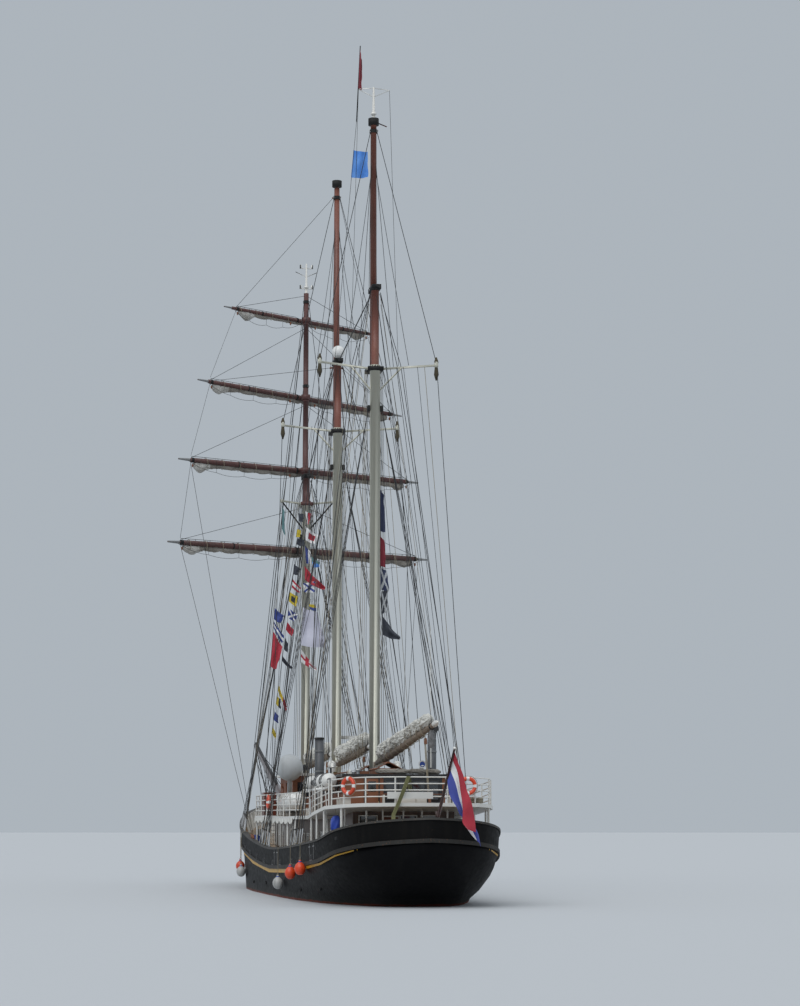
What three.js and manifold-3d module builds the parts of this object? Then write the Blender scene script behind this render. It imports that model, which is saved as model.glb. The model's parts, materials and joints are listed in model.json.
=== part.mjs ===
import * as THREE from 'three';
import { mergeVertices } from 'three/addons/utils/BufferGeometryUtils.js';
import Module from 'manifold-3d';

const wasm = await Module();
wasm.setup();

// Three-masted topsail schooner afloat, a half-size model.
// Every size below is in metres of the real ship. M turns one of them into
// millimetres of the model. The origin is amidships on the centreline, at the
// waterline. +X is the bow, +Y is port and +Z is up.
const M = 500;
// Gap between neighbouring solids
const GAP = 0.3 / M;
// Clearance round a moving piece
const PLAY = 8 / M;
// Slivers narrower than this, in millimetres, are dropped where solids join
const SLIVER = 0.05;

// Hull
const BULWARK = 1.05;
const BULWARK_WALL = 0.12;
const CAP = { out: 0.06, inside: 0.2, thick: 0.1 };
const RUB_RAIL = { out: 0.08, high: 0.14 };
const KEEL = { half: 0.18, z: -4.2, aft: -22.3, forward: 17.5 };
const SHOE_TOP = -3.85;
const PROPELLER = { x: -19.4, z: -2.6, radius: 1.1, hub: 0.2, long: 0.62 };
const RUDDER = {
  x: -21.3, top: -0.85, bottom: -3.75, lead: 0.3, tail: 1.9, thick: 0.24, edge: 0.03,
  gap: 0.08, stock: 0.15, pintle: 0.12,
};

// Stations of the hull. Columns: x, height of the bulwark top, half-breadth there,
// half-breadth of the deck, height and half-breadth of the turn, height of the
// bottom, power of the bilge curve, power of the topside curve.
const STATIONS = [
  [-27.45, 3.950, 0.35, 0.33, 2.70, 0.28, 2.60, 0.90, 1.6],
  [-27.20, 3.911, 1.15, 1.10, 2.40, 0.85, 2.15, 0.90, 1.7],
  [-26.60, 3.818, 2.25, 2.18, 2.00, 1.60, 1.60, 0.90, 1.8],
  [-25.60, 3.663, 3.15, 3.08, 1.30, 2.15, 0.80, 0.90, 1.9],
  [-24.00, 3.415, 3.80, 3.74, 0.45, 2.10, -0.05, 0.95, 1.9],
  [-21.50, 3.028, 4.12, 4.09, 0.00, 2.60, -0.60, 1.00, 1.8],
  [-18.00, 2.840, 4.25, 4.23, 0.00, 3.55, -2.00, 0.95, 1.5],
  [-12.00, 2.620, 4.30, 4.29, 0.00, 4.15, -3.30, 0.80, 1.2],
  [-4.00, 2.500, 4.32, 4.32, 0.00, 4.30, -3.70, 0.60, 1.0],
  [4.00, 2.850, 4.30, 4.29, 0.00, 4.28, -3.70, 0.60, 1.0],
  [10.00, 3.320, 4.22, 4.17, 0.00, 4.00, -3.70, 0.70, 0.9],
  [14.00, 3.700, 3.95, 3.86, 0.00, 3.45, -3.65, 0.80, 0.8],
  [18.00, 4.150, 3.40, 3.24, 0.00, 2.55, -3.45, 0.95, 0.7],
  [21.50, 4.574, 2.55, 2.33, 0.00, 1.40, -2.60, 1.10, 0.6],
  [24.50, 4.937, 1.35, 1.15, 0.60, 0.50, -0.25, 1.20, 0.6],
  [26.60, 5.191, 0.45, 0.34, 2.80, 0.12, 2.30, 1.00, 0.8],
  [27.50, 5.300, 0.12, 0.09, 3.95, 0.07, 3.75, 1.00, 1.0],
];
const X = 0;
const Z_RAIL = 1;
const B_RAIL = 2;
const B_DECK = 3;

// Upper deck. Columns: x, height of the top, half-breadth.
const UPPER = [
  [-25.3, 4.615, 1.20],
  [-25.0, 4.600, 2.60],
  [-24.0, 4.565, 3.40],
  [-22.0, 4.500, 3.93],
  [-18.0, 4.270, 3.90],
  [-15.0, 4.100, 3.75],
  [-6.0, 4.100, 3.75],
  [2.5, 4.200, 3.75],
  [8.0, 4.200, 3.75],
  [9.6, 4.200, 3.40],
  [10.4, 4.200, 2.20],
];
const B_UPPER = 2;
const UPPER_THICK = 0.16;
const POSTS_X = [-23.6, -21, -18.4, -15.6, -9.4, -6.2, -3.2, 2.3, 5.2, 8];
const POST_RADIUS = 0.06;

// Railing round the upper deck
const RAIL = { high: 1.15, count: 4, inside: 0.07, bar: 0.028, post: 0.035, step: 2.7, set: 0.009 };

// Houses. Columns of each: aft end, forward end, half-breadth, height of the roof.
const MAIN_HOUSE = { aft: -20.5, forward: 8.6, half: 2.4 };
const TRUNK = { aft: -18, forward: -8, half: 2.45, roof: 6.05, eave: 0.1, eaveThick: 0.12 };
const WHEELHOUSE = { aft: 3, forward: 8.6, half: 2.2, roof: 6.4, wall: 0.12 };
const WHEELHOUSE_ROOF = { over: 0.25, thick: 0.14 };
const WINDOW = { sill: 5.25, head: 6.05, wide: 0.82, step: 1.02 };
const DOOR = { x: 7.7, wide: 0.85, bottom: 4.32, top: 6.12, thick: 0.1 };
const HINGE = { radius: 0.035, long: 0.15, out: 0.036, heights: [4.7, 5.75] };
const FORE_HOUSE = { aft: 10.9, forward: 13.4, half: 1.8, high: 2.1 };

// Masts. Columns: name, x, deck under the foot, crosstrees, cap, head, top of the pole,
// half-span of the spreaders, how far they sweep aft.
const MASTS = [
  ['mizzen', -12.0, () => TRUNK.roof, 26.9, 30.9, 40.06, 41.9, 3.0, 1.0],
  ['main', 1.2, (x) => upperAt(x), 25.8, 29.6, 39.95, 40.4, 3.24, 1.0],
  ['fore', 14.4, (x) => deckAt(x), 23.4, 24.9, 36.7, 38.6, 1.58, 0.5],
];
const LOWER_RADIUS = 0.27;
const HEAD_RADIUS = 0.2;
const TOPMAST = { forward: 0.6, heel: 0.18, head: 0.155, pole: 0.09, tip: 0.05 };
const TRUCK = { radius: 0.28, high: 0.36 };
// Height of the top of the truck on each mast that has one
const TRUCKS = { mizzen: 40.2, main: 40.4 };
// Arms on the mizzen pole and the flag stick that they hold
const ARM = { root: 41.85, strut: 41.37, tip: 41.77, reach: 0.84, radius: 0.022 };
const STICK = { foot: [0.9, 40.0], head: [0.71, 44.1], radius: 0.028 };
const WIND_ROD = { reach: 0.7, z: 39.8, radius: 0.03 };
// Lamps on the fore pole
const LAMP_BAR = { heights: [37.0, 38.3], half: 0.42, radius: 0.03, lamp: 0.065, high: 0.22 };
const LAMP_STAY = { z: 37.75, half: 0.68, rise: 0.31, radius: 0.022 };
const CAP_PLATE = { aft: 0.55, forward: 0.85, half: 0.23, thick: 0.24 };
const TREE = { aft: 0.35, forward: 0.95, half: 0.4, thick: 0.2 };
const SPREADER = { radius: 0.06, lift: 0.1, socket: 0.09 };
// Struts under a long and a short spreader: where on it they end, how far down they start
const STRUT = { long: [0.43, 1.25], short: [1, 1.7] };
// Bundle of blocks that hangs from the tip of a long spreader
const TACKLE = { long: 1.2, radius: 0.13, above: 0.42 };
const RADOME = { radius: 0.37, stalk: 0.2, aft: 0.2, lift: 0.02 };

// Booms. Columns: name, x of the mast, height of the gooseneck, length,
// rise in degrees, swing to starboard in degrees, depth of the furled sail.
const BOOMS = [
  ['mizzen', -12.0, 6.62, 11.1, 8.4, 5.2, 0.4],
  ['main', 1.2, 7.0, 11.5, 3.0, 0.0, 0.48],
  ['fore', 14.4, 7.15, 10.9, 2.6, 0.0, 0.42],
];
const BOOM = { radius: 0.19, end: 0.12, neck: 0.09, neckLong: 0.45, aft: 0.48 };
const GOOSENECK = { radius: 0.13, high: 0.24, lug: 0.06, arm: 0.1 };

// Yards. Columns: name, height, half-length, lift of the port end in degrees,
// radius in the middle.
const YARDS = [
  ['lower_topsail', 20.5, 9.3, 0.0, 0.19],
  ['upper_topsail', 25.5, 8.64, 0.5, 0.18],
  ['topgallant', 30.1, 7.4, 3.5, 0.16],
  ['royal', 35.0, 5.63, 3.0, 0.13],
];
// Columns: share of the half-length, share of the radius. A thin iron arm is at each end.
const YARD_TAPER = [
  [-1, 0.2], [-0.905, 0.3], [-0.9, 0.78], [-0.5, 0.93], [0, 1],
  [0.5, 0.93], [0.9, 0.78], [0.905, 0.3], [1, 0.2],
];
// Columns: share of the half-length, size of the furled sail there
const YARD_FOLDS = [
  [-0.88, 0.5], [-0.78, 1.3], [-0.6, 0.95], [-0.2, 0.9], [0.2, 0.9], [0.6, 0.95], [0.78, 1.3], [0.88, 0.5],
];
// Middle and girth of the furled sail, in radii of its yard
const YARD_SAIL = { ahead: 0.6, below: 1.25, girth: 0.85 };
const BRACE = 23;
const YARD_AHEAD = { lower: 0.55, offset: 0.42, truss: 0.11 };
const PARREL = { high: 0.3, band: 0.12, wall: 0.12, least: 0.2, sides: 16 };
// Arm, plate and pin that carry the lowest yard
const SEAT = { arm: 0.1, plate: 0.15, pin: 0.08 };

// Shrouds. Columns: mast, x of the three feet.
const SHROUDS = [
  ['mizzen', [-12.2, -13.3, -14.4]],
  ['main', [0.9, -0.2, -1.3]],
  ['fore', [14.1, 13.0, 11.9]],
];
const WIRE = 0.03;
const HOUND = { below: 2.15, wide: 0.3, deep: 0.14, high: 0.3 };
const SHEER_POLE = { high: 0.75, radius: 0.05 };
const CHAINPLATE = { half: 0.08, wide: 0.06, high: 0.14 };

// Bowsprit and the stays that lead to it
const BOWSPRIT = { heel: 23, tip: 41.3, atStem: 5.85, slope: 0.256, radius: 0.27, end: 0.16 };
const STEM_TOP = 5.35;
// Columns: x of the foot on the bowsprit, z of the head on the fore mast.
const HEAD_STAYS = [[29.0, 22.9], [35.2, 31.8], [40.6, 36.3]];
const STAY_EYE = { long: 0.2, half: 0.06, below: 0.3, above: 0.1 };

// Deck gear
const STACK = { x: -12.4, y: 2.85, radius: 0.225, top: 7.9 };
const RAFT = { y: 3.0, z: 5.75, radius: 0.36, long: 1.3, places: [-16.4, -14.5, -10.6], under: 0.4 };
const RACK = { y: 3.38, tube: 0.05, step: 0.4, beyond: 0.6, inward: 0.3 };
const TENDER = { aft: -4.8, forward: 1.9, y: 2.95, half: 0.62, keel: 4.4, gunwale: 4.95, ridge: 5.35 };
const RADAR = {
  ahead: 0.75, y: -1.15, z: 8.15, arm: 0.06, table: 0.22, thick: 0.15,
  long: 1.7, hub: 0.2, raised: 0.3, half: 0.13, high: 0.16,
};
const SATELLITE_DOME = { x: 2.05, y: 2.5, z: 6.83, radius: 0.75, stalk: 0.12 };
const LOCKER = { aft: 8.2, forward: 9.3, inner: 2.5, outer: 3.2, high: 1.35 };
const BOARD = { aft: -25.24, forward: -25.19, y: [-0.51, 1.56], z: [4.8, 5.1] };
const BITTS = [[-23.2, 1.6], [16.6, 2.5]];
const BITT = { radius: 0.16, high: 0.5, apart: 0.7 };
const FLAGSTAFF = {
  foot: [-27.44, -0.31, 3.95], head: [-28.6, -0.84, 6.92], radius: 0.08, socket: 0.09, truck: 0.08,
};
const STAFF_TAPER = 0.6;
const ANCHOR = { crown: 21.3, ring: 22.9, y: 1.0, radius: 0.07, fluke: 0.5, stock: 0.9 };
const WINDLASS = {
  x: 19.6, high: 0.9, axle: 0.65, cheek: { half: 0.4, y: [0.4, 0.7] },
  // Columns: y of each end, radius
  rollers: [[-1.25, 1.25, 0.14], [-0.35, 0.35, 0.3], [0.85, 1.2, 0.24], [-1.2, -0.85, 0.24]],
};

const rad = THREE.MathUtils.degToRad;
const ship = new THREE.Group();

const COLOURS = {
  black: { color: 0x17181c, roughness: 0.42, metalness: 0.1 },
  white: { color: 0xdedcd2, roughness: 0.45, metalness: 0.05 },
  cream: { color: 0xc6c4b4, roughness: 0.5, metalness: 0.05 },
  brown: { color: 0x703c30, roughness: 0.5, metalness: 0.05 },
  varnish: { color: 0x6e3522, roughness: 0.35, metalness: 0.0 },
  canvas: { color: 0xc9c6bc, roughness: 0.95, metalness: 0.0 },
  grey: { color: 0x6d6f72, roughness: 0.5, metalness: 0.3 },
  wire: { color: 0x2a2a2c, roughness: 0.6, metalness: 0.5 },
  bronze: { color: 0x9a7b45, roughness: 0.4, metalness: 0.8 },
  flag: { color: 0x9c2b2f, roughness: 0.9, metalness: 0.0 },
};

// A closed geometry as a solid that can be joined and cut.
function solid(geometry) {
  const bare = geometry.clone();
  bare.deleteAttribute('normal');
  bare.deleteAttribute('uv');
  const merged = mergeVertices(bare, 1e-3);
  return new wasm.Manifold(new wasm.Mesh({
    numProp: 3,
    vertProperties: new Float32Array(merged.attributes.position.array),
    triVerts: new Uint32Array(merged.index.array),
  }));
}

function join(solids) {
  return solids.reduce((sum, next) => sum.add(next));
}

// Adds one named piece to the ship.
function piece(name, body, colour) {
  const { vertProperties, triVerts } = body.asOriginal().simplify(SLIVER).getMesh();
  const geometry = new THREE.BufferGeometry();
  geometry.setAttribute('position', new THREE.BufferAttribute(vertProperties, 3));
  geometry.setIndex(new THREE.BufferAttribute(triVerts, 1));
  geometry.computeVertexNormals();
  const mesh = new THREE.Mesh(geometry, new THREE.MeshStandardMaterial(COLOURS[colour]));
  mesh.name = name;
  ship.add(mesh);
}

// Linear value of one column of a table at x.
function at(table, column, x) {
  const last = table.length - 2;
  let row = 0;
  while (row < last && table[row + 1][X] < x) row += 1;
  const [a, b] = [table[row], table[row + 1]];
  return THREE.MathUtils.mapLinear(x, a[X], b[X], a[column], b[column]);
}

const railAt = (x) => at(STATIONS, Z_RAIL, x);
const deckAt = (x) => railAt(x) - BULWARK;
const upperAt = (x) => at(UPPER, 1, x);
// Height at which a foot that reaches so far fore and aft stands clear of a sloping deck
const standOn = (deck, x, reach) => Math.max(deck(x - reach), deck(x + reach)) + GAP;

// The x values between two ends where the main or upper deck changes slope.
function knots(from, to) {
  const inside = [...STATIONS, ...UPPER].map((row) => row[X]).filter((x) => x > from && x < to);
  return [...new Set([from, ...inside, to])].sort((a, b) => a - b);
}

// Triangles that close one flat ring of points.
function lid(ring) {
  const points = ring.map((p) => new THREE.Vector3(...p));
  const normal = new THREE.Vector3();
  points.forEach((p, i) => normal.add(p.clone().cross(points[(i + 1) % points.length])));
  normal.normalize();
  const side = new THREE.Vector3(0, 0, 1);
  if (Math.abs(normal.z) > 0.9) side.set(1, 0, 0);
  const u = side.cross(normal).normalize();
  const v = normal.clone().cross(u);
  const flat = points.map((p) => new THREE.Vector2(p.dot(u), p.dot(v)));
  return THREE.ShapeUtils.triangulateShape(flat, []);
}

function signedVolume(positions, index) {
  const corner = (i) => new THREE.Vector3().fromArray(positions, index[i] * 3);
  let sum = 0;
  for (let i = 0; i < index.length; i += 3) {
    sum += corner(i).dot(corner(i + 1).cross(corner(i + 2)));
  }
  return sum;
}

// A solid through rings of points that have the same count.
function loft(rings) {
  const count = rings[0].length;
  const positions = rings.flat().flatMap((p) => p.map((value) => value * M));
  const index = [];
  for (let r = 0; r < rings.length - 1; r += 1) {
    for (let i = 0; i < count; i += 1) {
      const a = r * count + i;
      const b = r * count + ((i + 1) % count);
      index.push(a, b, b + count, a, b + count, a + count);
    }
  }
  const end = (rings.length - 1) * count;
  const first = lid(rings[0]);
  const last = lid(rings[rings.length - 1]);
  first.forEach(([a, b, c]) => index.push(a, c, b));
  last.forEach(([a, b, c]) => index.push(end + a, end + b, end + c));
  if (signedVolume(positions, index) < 0) {
    for (let i = 0; i < index.length; i += 3) [index[i], index[i + 1]] = [index[i + 1], index[i]];
  }
  const geometry = new THREE.BufferGeometry();
  geometry.setAttribute('position', new THREE.Float32BufferAttribute(positions, 3));
  geometry.setIndex(index);
  return solid(geometry);
}

// A bar through points, with one radius for each point or one for all.
// wide and deep stretch its section sideways and upwards.
function bar(points, radii, sides = 6, wide = 1, deep = 1) {
  const path = points.map((p) => new THREE.Vector3(...p));
  const rings = path.map((p, i) => {
    const before = path[Math.max(i - 1, 0)];
    const after = path[Math.min(i + 1, path.length - 1)];
    const along = after.clone().sub(before).normalize();
    const up = Math.abs(along.z) > 0.9 ? new THREE.Vector3(1, 0, 0) : new THREE.Vector3(0, 0, 1);
    const u = up.cross(along).normalize();
    const v = along.clone().cross(u);
    const radius = Array.isArray(radii) ? radii[i] : radii;
    return Array.from({ length: sides }, (_, k) => {
      const angle = (2 * Math.PI * k) / sides;
      return p.clone()
        .addScaledVector(u, radius * wide * Math.sin(angle))
        .addScaledVector(v, radius * deep * Math.cos(angle))
        .toArray();
    });
  });
  return loft(rings);
}

function box(x0, x1, y0, y1, z0, z1) {
  const geometry = new THREE.BoxGeometry((x1 - x0) * M, (y1 - y0) * M, (z1 - z0) * M);
  return solid(geometry.translate(((x0 + x1) / 2) * M, ((y0 + y1) / 2) * M, ((z0 + z1) / 2) * M));
}

// An upright cylinder or cone.
function post(x, y, z0, z1, bottom, top = bottom, sides = 12) {
  return bar([[x, y, z0], [x, y, z1]], [bottom, top], sides);
}

// A plate with an outline in x and z, thick in y.
function plate(outline, y0, y1) {
  return loft([y0, y1].map((y) => outline.map(([x, z]) => [x, y, z])));
}

function mirrored(points) {
  return points.concat(points.map(([x, y, z]) => [x, -y, z]).reverse());
}

function hullRing([x, zRail, , bDeck, zTurn, bTurn, zBottom, bilge, topside]) {
  const zDeck = zRail - BULWARK;
  const upper = [1, 0.66, 0.33, 0].map((t) => [
    x,
    bTurn + (bDeck - bTurn) * (1 - (1 - t) ** topside),
    zTurn + (zDeck - zTurn) * t,
  ]);
  const keel = Math.min(KEEL.half, bTurn * 0.6);
  const lower = [25, 50, 72, 90].map((degrees) => [
    x,
    keel + (bTurn - keel) * Math.max(Math.cos(rad(degrees)), 0) ** bilge,
    zTurn - (zTurn - zBottom) * Math.sin(rad(degrees)),
  ]);
  return mirrored([...upper, ...lower]);
}

function hull() {
  const body = loft(STATIONS.map(hullRing));
  const keel = plate([
    [KEEL.aft, KEEL.z], [KEEL.forward, KEEL.z], [21.2, -3.0], [23.6, -1.2], [21, -1], [10, -2],
    [-12, -1.5], [-19, -1.3], [-19, SHOE_TOP], [KEEL.aft, SHOE_TOP],
  ], -KEEL.half, KEEL.half);
  const shaft = bar([[-17, 0, PROPELLER.z], [PROPELLER.x + GAP, 0, PROPELLER.z]], 0.24, 12);
  const trunk = post(RUDDER.x, 0, RUDDER.top + RUDDER.gap, 1, 0.2);
  const stem = box(27.2, 27.75, -0.12, 0.12, 4, STEM_TOP);
  const bitts = BITTS.flatMap(([x, y]) => [1, -1].flatMap((side) => [0, BITT.apart].map((step) => (
    post(x + step, side * y, deckAt(x) - 0.3, deckAt(x) + BITT.high, BITT.radius)))));
  piece('hull', join([body, keel, shaft, trunk, stem, ...bitts]), 'black');
}

// Plan of one bulwark from the stern round to the stem, with its outward direction.
function bulwarkPlan() {
  const outline = STATIONS.slice(0, -1).map((row) => [row[X], row[B_RAIL], row[B_DECK]]);
  outline.unshift([-27.52, GAP / 2, GAP / 2]);
  outline.push([27.1, at(STATIONS, B_RAIL, 27.1), at(STATIONS, B_DECK, 27.1)]);
  return outline.map(([x, b, foot], i) => {
    const before = outline[Math.max(i - 1, 0)];
    const after = outline[Math.min(i + 1, outline.length - 1)];
    const along = new THREE.Vector2(after[0] - before[0], after[1] - before[1]).normalize();
    const out = i === 0 ? new THREE.Vector2(-1, 0) : new THREE.Vector2(-along.y, along.x);
    return { x, b, foot, out };
  });
}

function bulwark(name, side) {
  const rings = bulwarkPlan().map(({ x, b, foot, out }) => {
    // Columns: distance outwards, share of the height, extra height
    const section = [
      [RUB_RAIL.out, 0, GAP], [RUB_RAIL.out, 0, RUB_RAIL.high], [0, 0, RUB_RAIL.high],
      [0, 1, -CAP.thick], [CAP.out, 1, -CAP.thick], [CAP.out, 1, 0],
      [-CAP.inside, 1, 0], [-CAP.inside, 1, -CAP.thick],
      [-BULWARK_WALL, 1, -CAP.thick], [-BULWARK_WALL, 0, GAP],
    ];
    return section.map(([distance, share, extra]) => {
      const px = x + out.x * distance;
      const py = foot + (b - foot) * share + out.y * distance;
      return [px, side * py, deckAt(px) + BULWARK * share + extra];
    });
  });
  piece(name, loft(rings), 'black');
}

function upperDeck() {
  const slab = loft(UPPER.map(([x, z, b]) => mirrored([[x, b, z], [x, b, z - UPPER_THICK]])));
  const posts = POSTS_X.flatMap((x) => [1, -1].map((side) => {
    const y = side * (at(UPPER, B_UPPER, x) - 0.12);
    return post(x, y, standOn(deckAt, x, POST_RADIUS), upperAt(x) - 0.05, POST_RADIUS, POST_RADIUS, 6);
  }));
  const lockers = [1, -1].map((side) => {
    const [y0, y1] = [side * LOCKER.inner, side * LOCKER.outer].sort((a, b) => a - b);
    const z = upperAt(LOCKER.aft);
    return box(LOCKER.aft, LOCKER.forward, y0, y1, z - UPPER_THICK / 2, z + LOCKER.high);
  });
  piece('upper_deck', join([slab, ...posts, ...lockers]), 'white');
}

// Bars and posts along a line of [x, y] points on the upper deck, with what they carry.
function railing(name, line, carried = []) {
  const lift = (share) => line.map(([x, y]) => [x, y, upperAt(x) + RAIL.high * share]);
  const bars = Array.from({ length: RAIL.count }, (_, i) => (
    bar(lift((i + 1) / RAIL.count), RAIL.bar, 4)));
  const posts = [];
  line.slice(1).forEach(([x1, y1], i) => {
    const [x0, y0] = line[i];
    const steps = Math.max(1, Math.round(Math.hypot(x1 - x0, y1 - y0) / RAIL.step));
    for (let s = i === 0 ? 0 : 1; s <= steps; s += 1) {
      const x = x0 + ((x1 - x0) * s) / steps;
      const y = y0 + ((y1 - y0) * s) / steps;
      const foot = standOn(upperAt, x, RAIL.post);
      const top = upperAt(x) + RAIL.high + RAIL.bar;
      posts.push(post(x + RAIL.set, y - Math.sign(y) * RAIL.set, foot, top, RAIL.post, RAIL.post, 4));
    }
  });
  piece(name, join([...bars, ...posts, ...carried]), 'white');
}

function railings() {
  const edge = (x) => at(UPPER, B_UPPER, x) - RAIL.inside;
  const aft = [[-22.6, edge(-22.6)], [-24, edge(-24)], [-24.93, 2.5], [-25.18, 1.2]];
  const board = box(BOARD.aft, BOARD.forward, ...BOARD.y, ...BOARD.z);
  railing('rail_aft', aft.concat(aft.map(([x, y]) => [x, -y]).reverse()), [board]);
  const along = [-22.3, -18, -15, 8, 9.5].map((x) => [x, edge(x)]);
  railing('rail_port', along);
  railing('rail_starboard', along.map(([x, y]) => [x, -y]));
}

// A house whose foot and roof follow the decks.
function house(aft, forward, half, foot, roof) {
  return loft(knots(aft, forward).map((x) => mirrored([[x, half, foot(x)], [x, half, roof(x)]])));
}

function houses() {
  const under = (x) => upperAt(x) - UPPER_THICK - GAP;
  const onDeck = (x) => deckAt(x) + GAP;
  const onUpper = (x) => upperAt(x) + GAP;
  piece('main_deckhouse', house(MAIN_HOUSE.aft, MAIN_HOUSE.forward, MAIN_HOUSE.half, onDeck, under), 'white');

  const trunk = house(TRUNK.aft, TRUNK.forward, TRUNK.half, onUpper, () => TRUNK.roof - TRUNK.eaveThick);
  const reach = TRUNK.half + TRUNK.eave;
  const roof = box(
    TRUNK.aft - TRUNK.eave, TRUNK.forward + TRUNK.eave, -reach, reach,
    TRUNK.roof - TRUNK.eaveThick - 0.01, TRUNK.roof,
  );
  piece('aft_trunk', trunk.add(roof), 'varnish');

  const foreRoof = deckAt(FORE_HOUSE.forward) + FORE_HOUSE.high;
  const fore = house(FORE_HOUSE.aft, FORE_HOUSE.forward, FORE_HOUSE.half, onDeck, () => foreRoof);
  const over = box(
    FORE_HOUSE.aft - 0.1, FORE_HOUSE.forward + 0.1, -FORE_HOUSE.half - 0.1, FORE_HOUSE.half + 0.1,
    foreRoof - 0.02, foreRoof + 0.12,
  );
  piece('fore_deckhouse', fore.add(over), 'varnish');
}

function doorway(side) {
  const inner = side > 0 ? WHEELHOUSE.half - WHEELHOUSE.wall : -WHEELHOUSE.half;
  return box(DOOR.x - DOOR.wide, DOOR.x, inner - 0.1, inner + WHEELHOUSE.wall + 0.1, DOOR.bottom, DOOR.top);
}

// Half of each hinge, on the wall below the half on the door.
function hingeBarrels(side, raise) {
  const y = side * (WHEELHOUSE.half + HINGE.out);
  return HINGE.heights.map((z) => (
    post(DOOR.x + 0.04, y, z + raise, z + raise + HINGE.long - GAP, HINGE.radius, HINGE.radius, 10)));
}

function wheelhouse() {
  const { aft, forward, half, wall, roof } = WHEELHOUSE;
  const foot = upperAt(forward) + GAP;
  const outer = box(aft, forward, -half, half, foot, roof);
  const inner = box(aft + wall, forward - wall, -half + wall, half - wall, foot - 1, roof + 1);
  const cuts = [doorway(1), doorway(-1)];
  const fronts = Math.floor((2 * half) / WINDOW.step);
  for (let i = 0; i < fronts; i += 1) {
    const y = (i - (fronts - 1) / 2) * WINDOW.step;
    cuts.push(box(aft - 1, forward + 1, y - WINDOW.wide / 2, y + WINDOW.wide / 2, WINDOW.sill, WINDOW.head));
  }
  for (let x = aft + 0.75; x < DOOR.x - DOOR.wide - 0.5; x += WINDOW.step) {
    cuts.push(box(x - WINDOW.wide / 2, x + WINDOW.wide / 2, -half - 1, half + 1, WINDOW.sill, WINDOW.head));
  }
  const lugs = [1, -1].flatMap((side) => {
    const face = side * half;
    const reach = side * (half + HINGE.out);
    const [y0, y1] = [face, reach].sort((a, b) => a - b);
    return HINGE.heights.map((z) => (
      box(DOOR.x + 0.02, DOOR.x + 0.16, y0, y1, z, z + HINGE.long - GAP)));
  });
  const barrels = [...hingeBarrels(1, 0), ...hingeBarrels(-1, 0)];
  piece('wheelhouse', join([outer.subtract(join([inner, ...cuts])), ...lugs, ...barrels]), 'varnish');
  const { over, thick } = WHEELHOUSE_ROOF;
  const reach = half + over;
  const top = box(aft - over, forward + over, -reach, reach, roof + GAP, roof + thick);
  piece('wheelhouse_roof', top, 'white');
}

function door(name, side) {
  const face = WHEELHOUSE.half;
  const [y0, y1] = [side * (face - DOOR.thick), side * face].sort((a, b) => a - b);
  const leaf = box(
    DOOR.x - DOOR.wide + PLAY / 2, DOOR.x - PLAY / 2, y0, y1,
    DOOR.bottom + PLAY / 2, DOOR.top - PLAY / 2,
  );
  const pane = box(DOOR.x - DOOR.wide + 0.2, DOOR.x - 0.2, -4, 4, WINDOW.sill, DOOR.top - 0.25);
  // Columns: distance of the forward end from the jamb, depth from the face of the wall
  const straps = [[0.04, GAP], [-0.05, -0.02]].flatMap(([end, depth]) => HINGE.heights.map((z) => {
    const [s0, s1] = [side * (face + depth), side * (face + HINGE.out)].sort((a, b) => a - b);
    return box(DOOR.x - 0.25, DOOR.x + end, s0, s1, z + HINGE.long + GAP, z + 2 * HINGE.long - GAP);
  }));
  const barrels = hingeBarrels(side, HINGE.long + GAP);
  piece(name, join([leaf.subtract(pane), ...straps, ...barrels]), 'varnish');
}

// Radius of a topmast at a height.
function topmastRadius(cross, head, z) {
  return THREE.MathUtils.mapLinear(z, cross, head, TOPMAST.heel, TOPMAST.head);
}

// A spreader with its strut and, on a long one, the bundle of blocks at its tip.
function spreader(x, cross, span, sweep, side) {
  const { radius, lift, socket } = SPREADER;
  const long = span > TACKLE.long * 2;
  const [share, drop] = long ? STRUT.long : STRUT.short;
  const [tipX, tipY, tipZ] = [x - sweep, side * span, cross + lift];
  const braced = [x - sweep * share, tipY * share, cross + lift * share - radius / 2];
  const hang = (part) => [tipX, tipY, tipZ + TACKLE.above - TACKLE.long * part];
  const parts = [
    bar([[x, side * socket, cross], [tipX, tipY, tipZ]], radius, 6),
    bar([[x, side * socket, cross - drop], braced], radius * 0.8, 5),
    box(tipX - socket, tipX + socket, tipY - socket, tipY + socket, tipZ - socket, tipZ + socket),
  ];
  if (long) {
    const sizes = [0.3, 0.9, 0.65, 1, 0.3].map((size) => TACKLE.radius * size);
    parts.push(bar([0, 0.2, 0.45, 0.75, 1].map(hang), sizes, 7));
  }
  return join(parts);
}

// The two cheeks that hold the eye of a boom, on the aft face of a mast.
function cheeks(x, z) {
  const pin = x - BOOM.aft;
  const half = GOOSENECK.arm;
  return join([-1, 1].flatMap((way) => {
    const near = z + way * (GOOSENECK.high / 2 + GAP);
    const far = near + way * GOOSENECK.lug;
    const [z0, z1] = [near, far].sort((a, b) => a - b);
    return [box(pin, x, -half, half, z0, z1), post(pin, 0, z0, z1, GOOSENECK.radius)];
  }));
}

function yardBands(x) {
  const [, , , cross, , head] = MASTS[2];
  return YARDS.slice(1).map(([, z]) => {
    const top = z - PARREL.high / 2 - GAP;
    return post(x, 0, top - PARREL.band, top, topmastRadius(cross, head, z) + PARREL.wall / 2);
  });
}

// Arms on the mizzen pole, the flag stick at the port arm and the wind vane's rod.
function mizzenHead(x, head) {
  const arms = [1, -1].flatMap((side) => [ARM.root, ARM.strut].map((root) => (
    bar([[x, 0, root], [x, side * ARM.reach, ARM.tip]], ARM.radius, 5))));
  return [
    ...arms,
    bar([STICK.foot, STICK.head].map(([y, z]) => [x, y, z]), STICK.radius, 6),
    bar([[x, 0, head], [x, -WIND_ROD.reach, WIND_ROD.z]], WIND_ROD.radius, 5),
  ];
}

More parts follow.
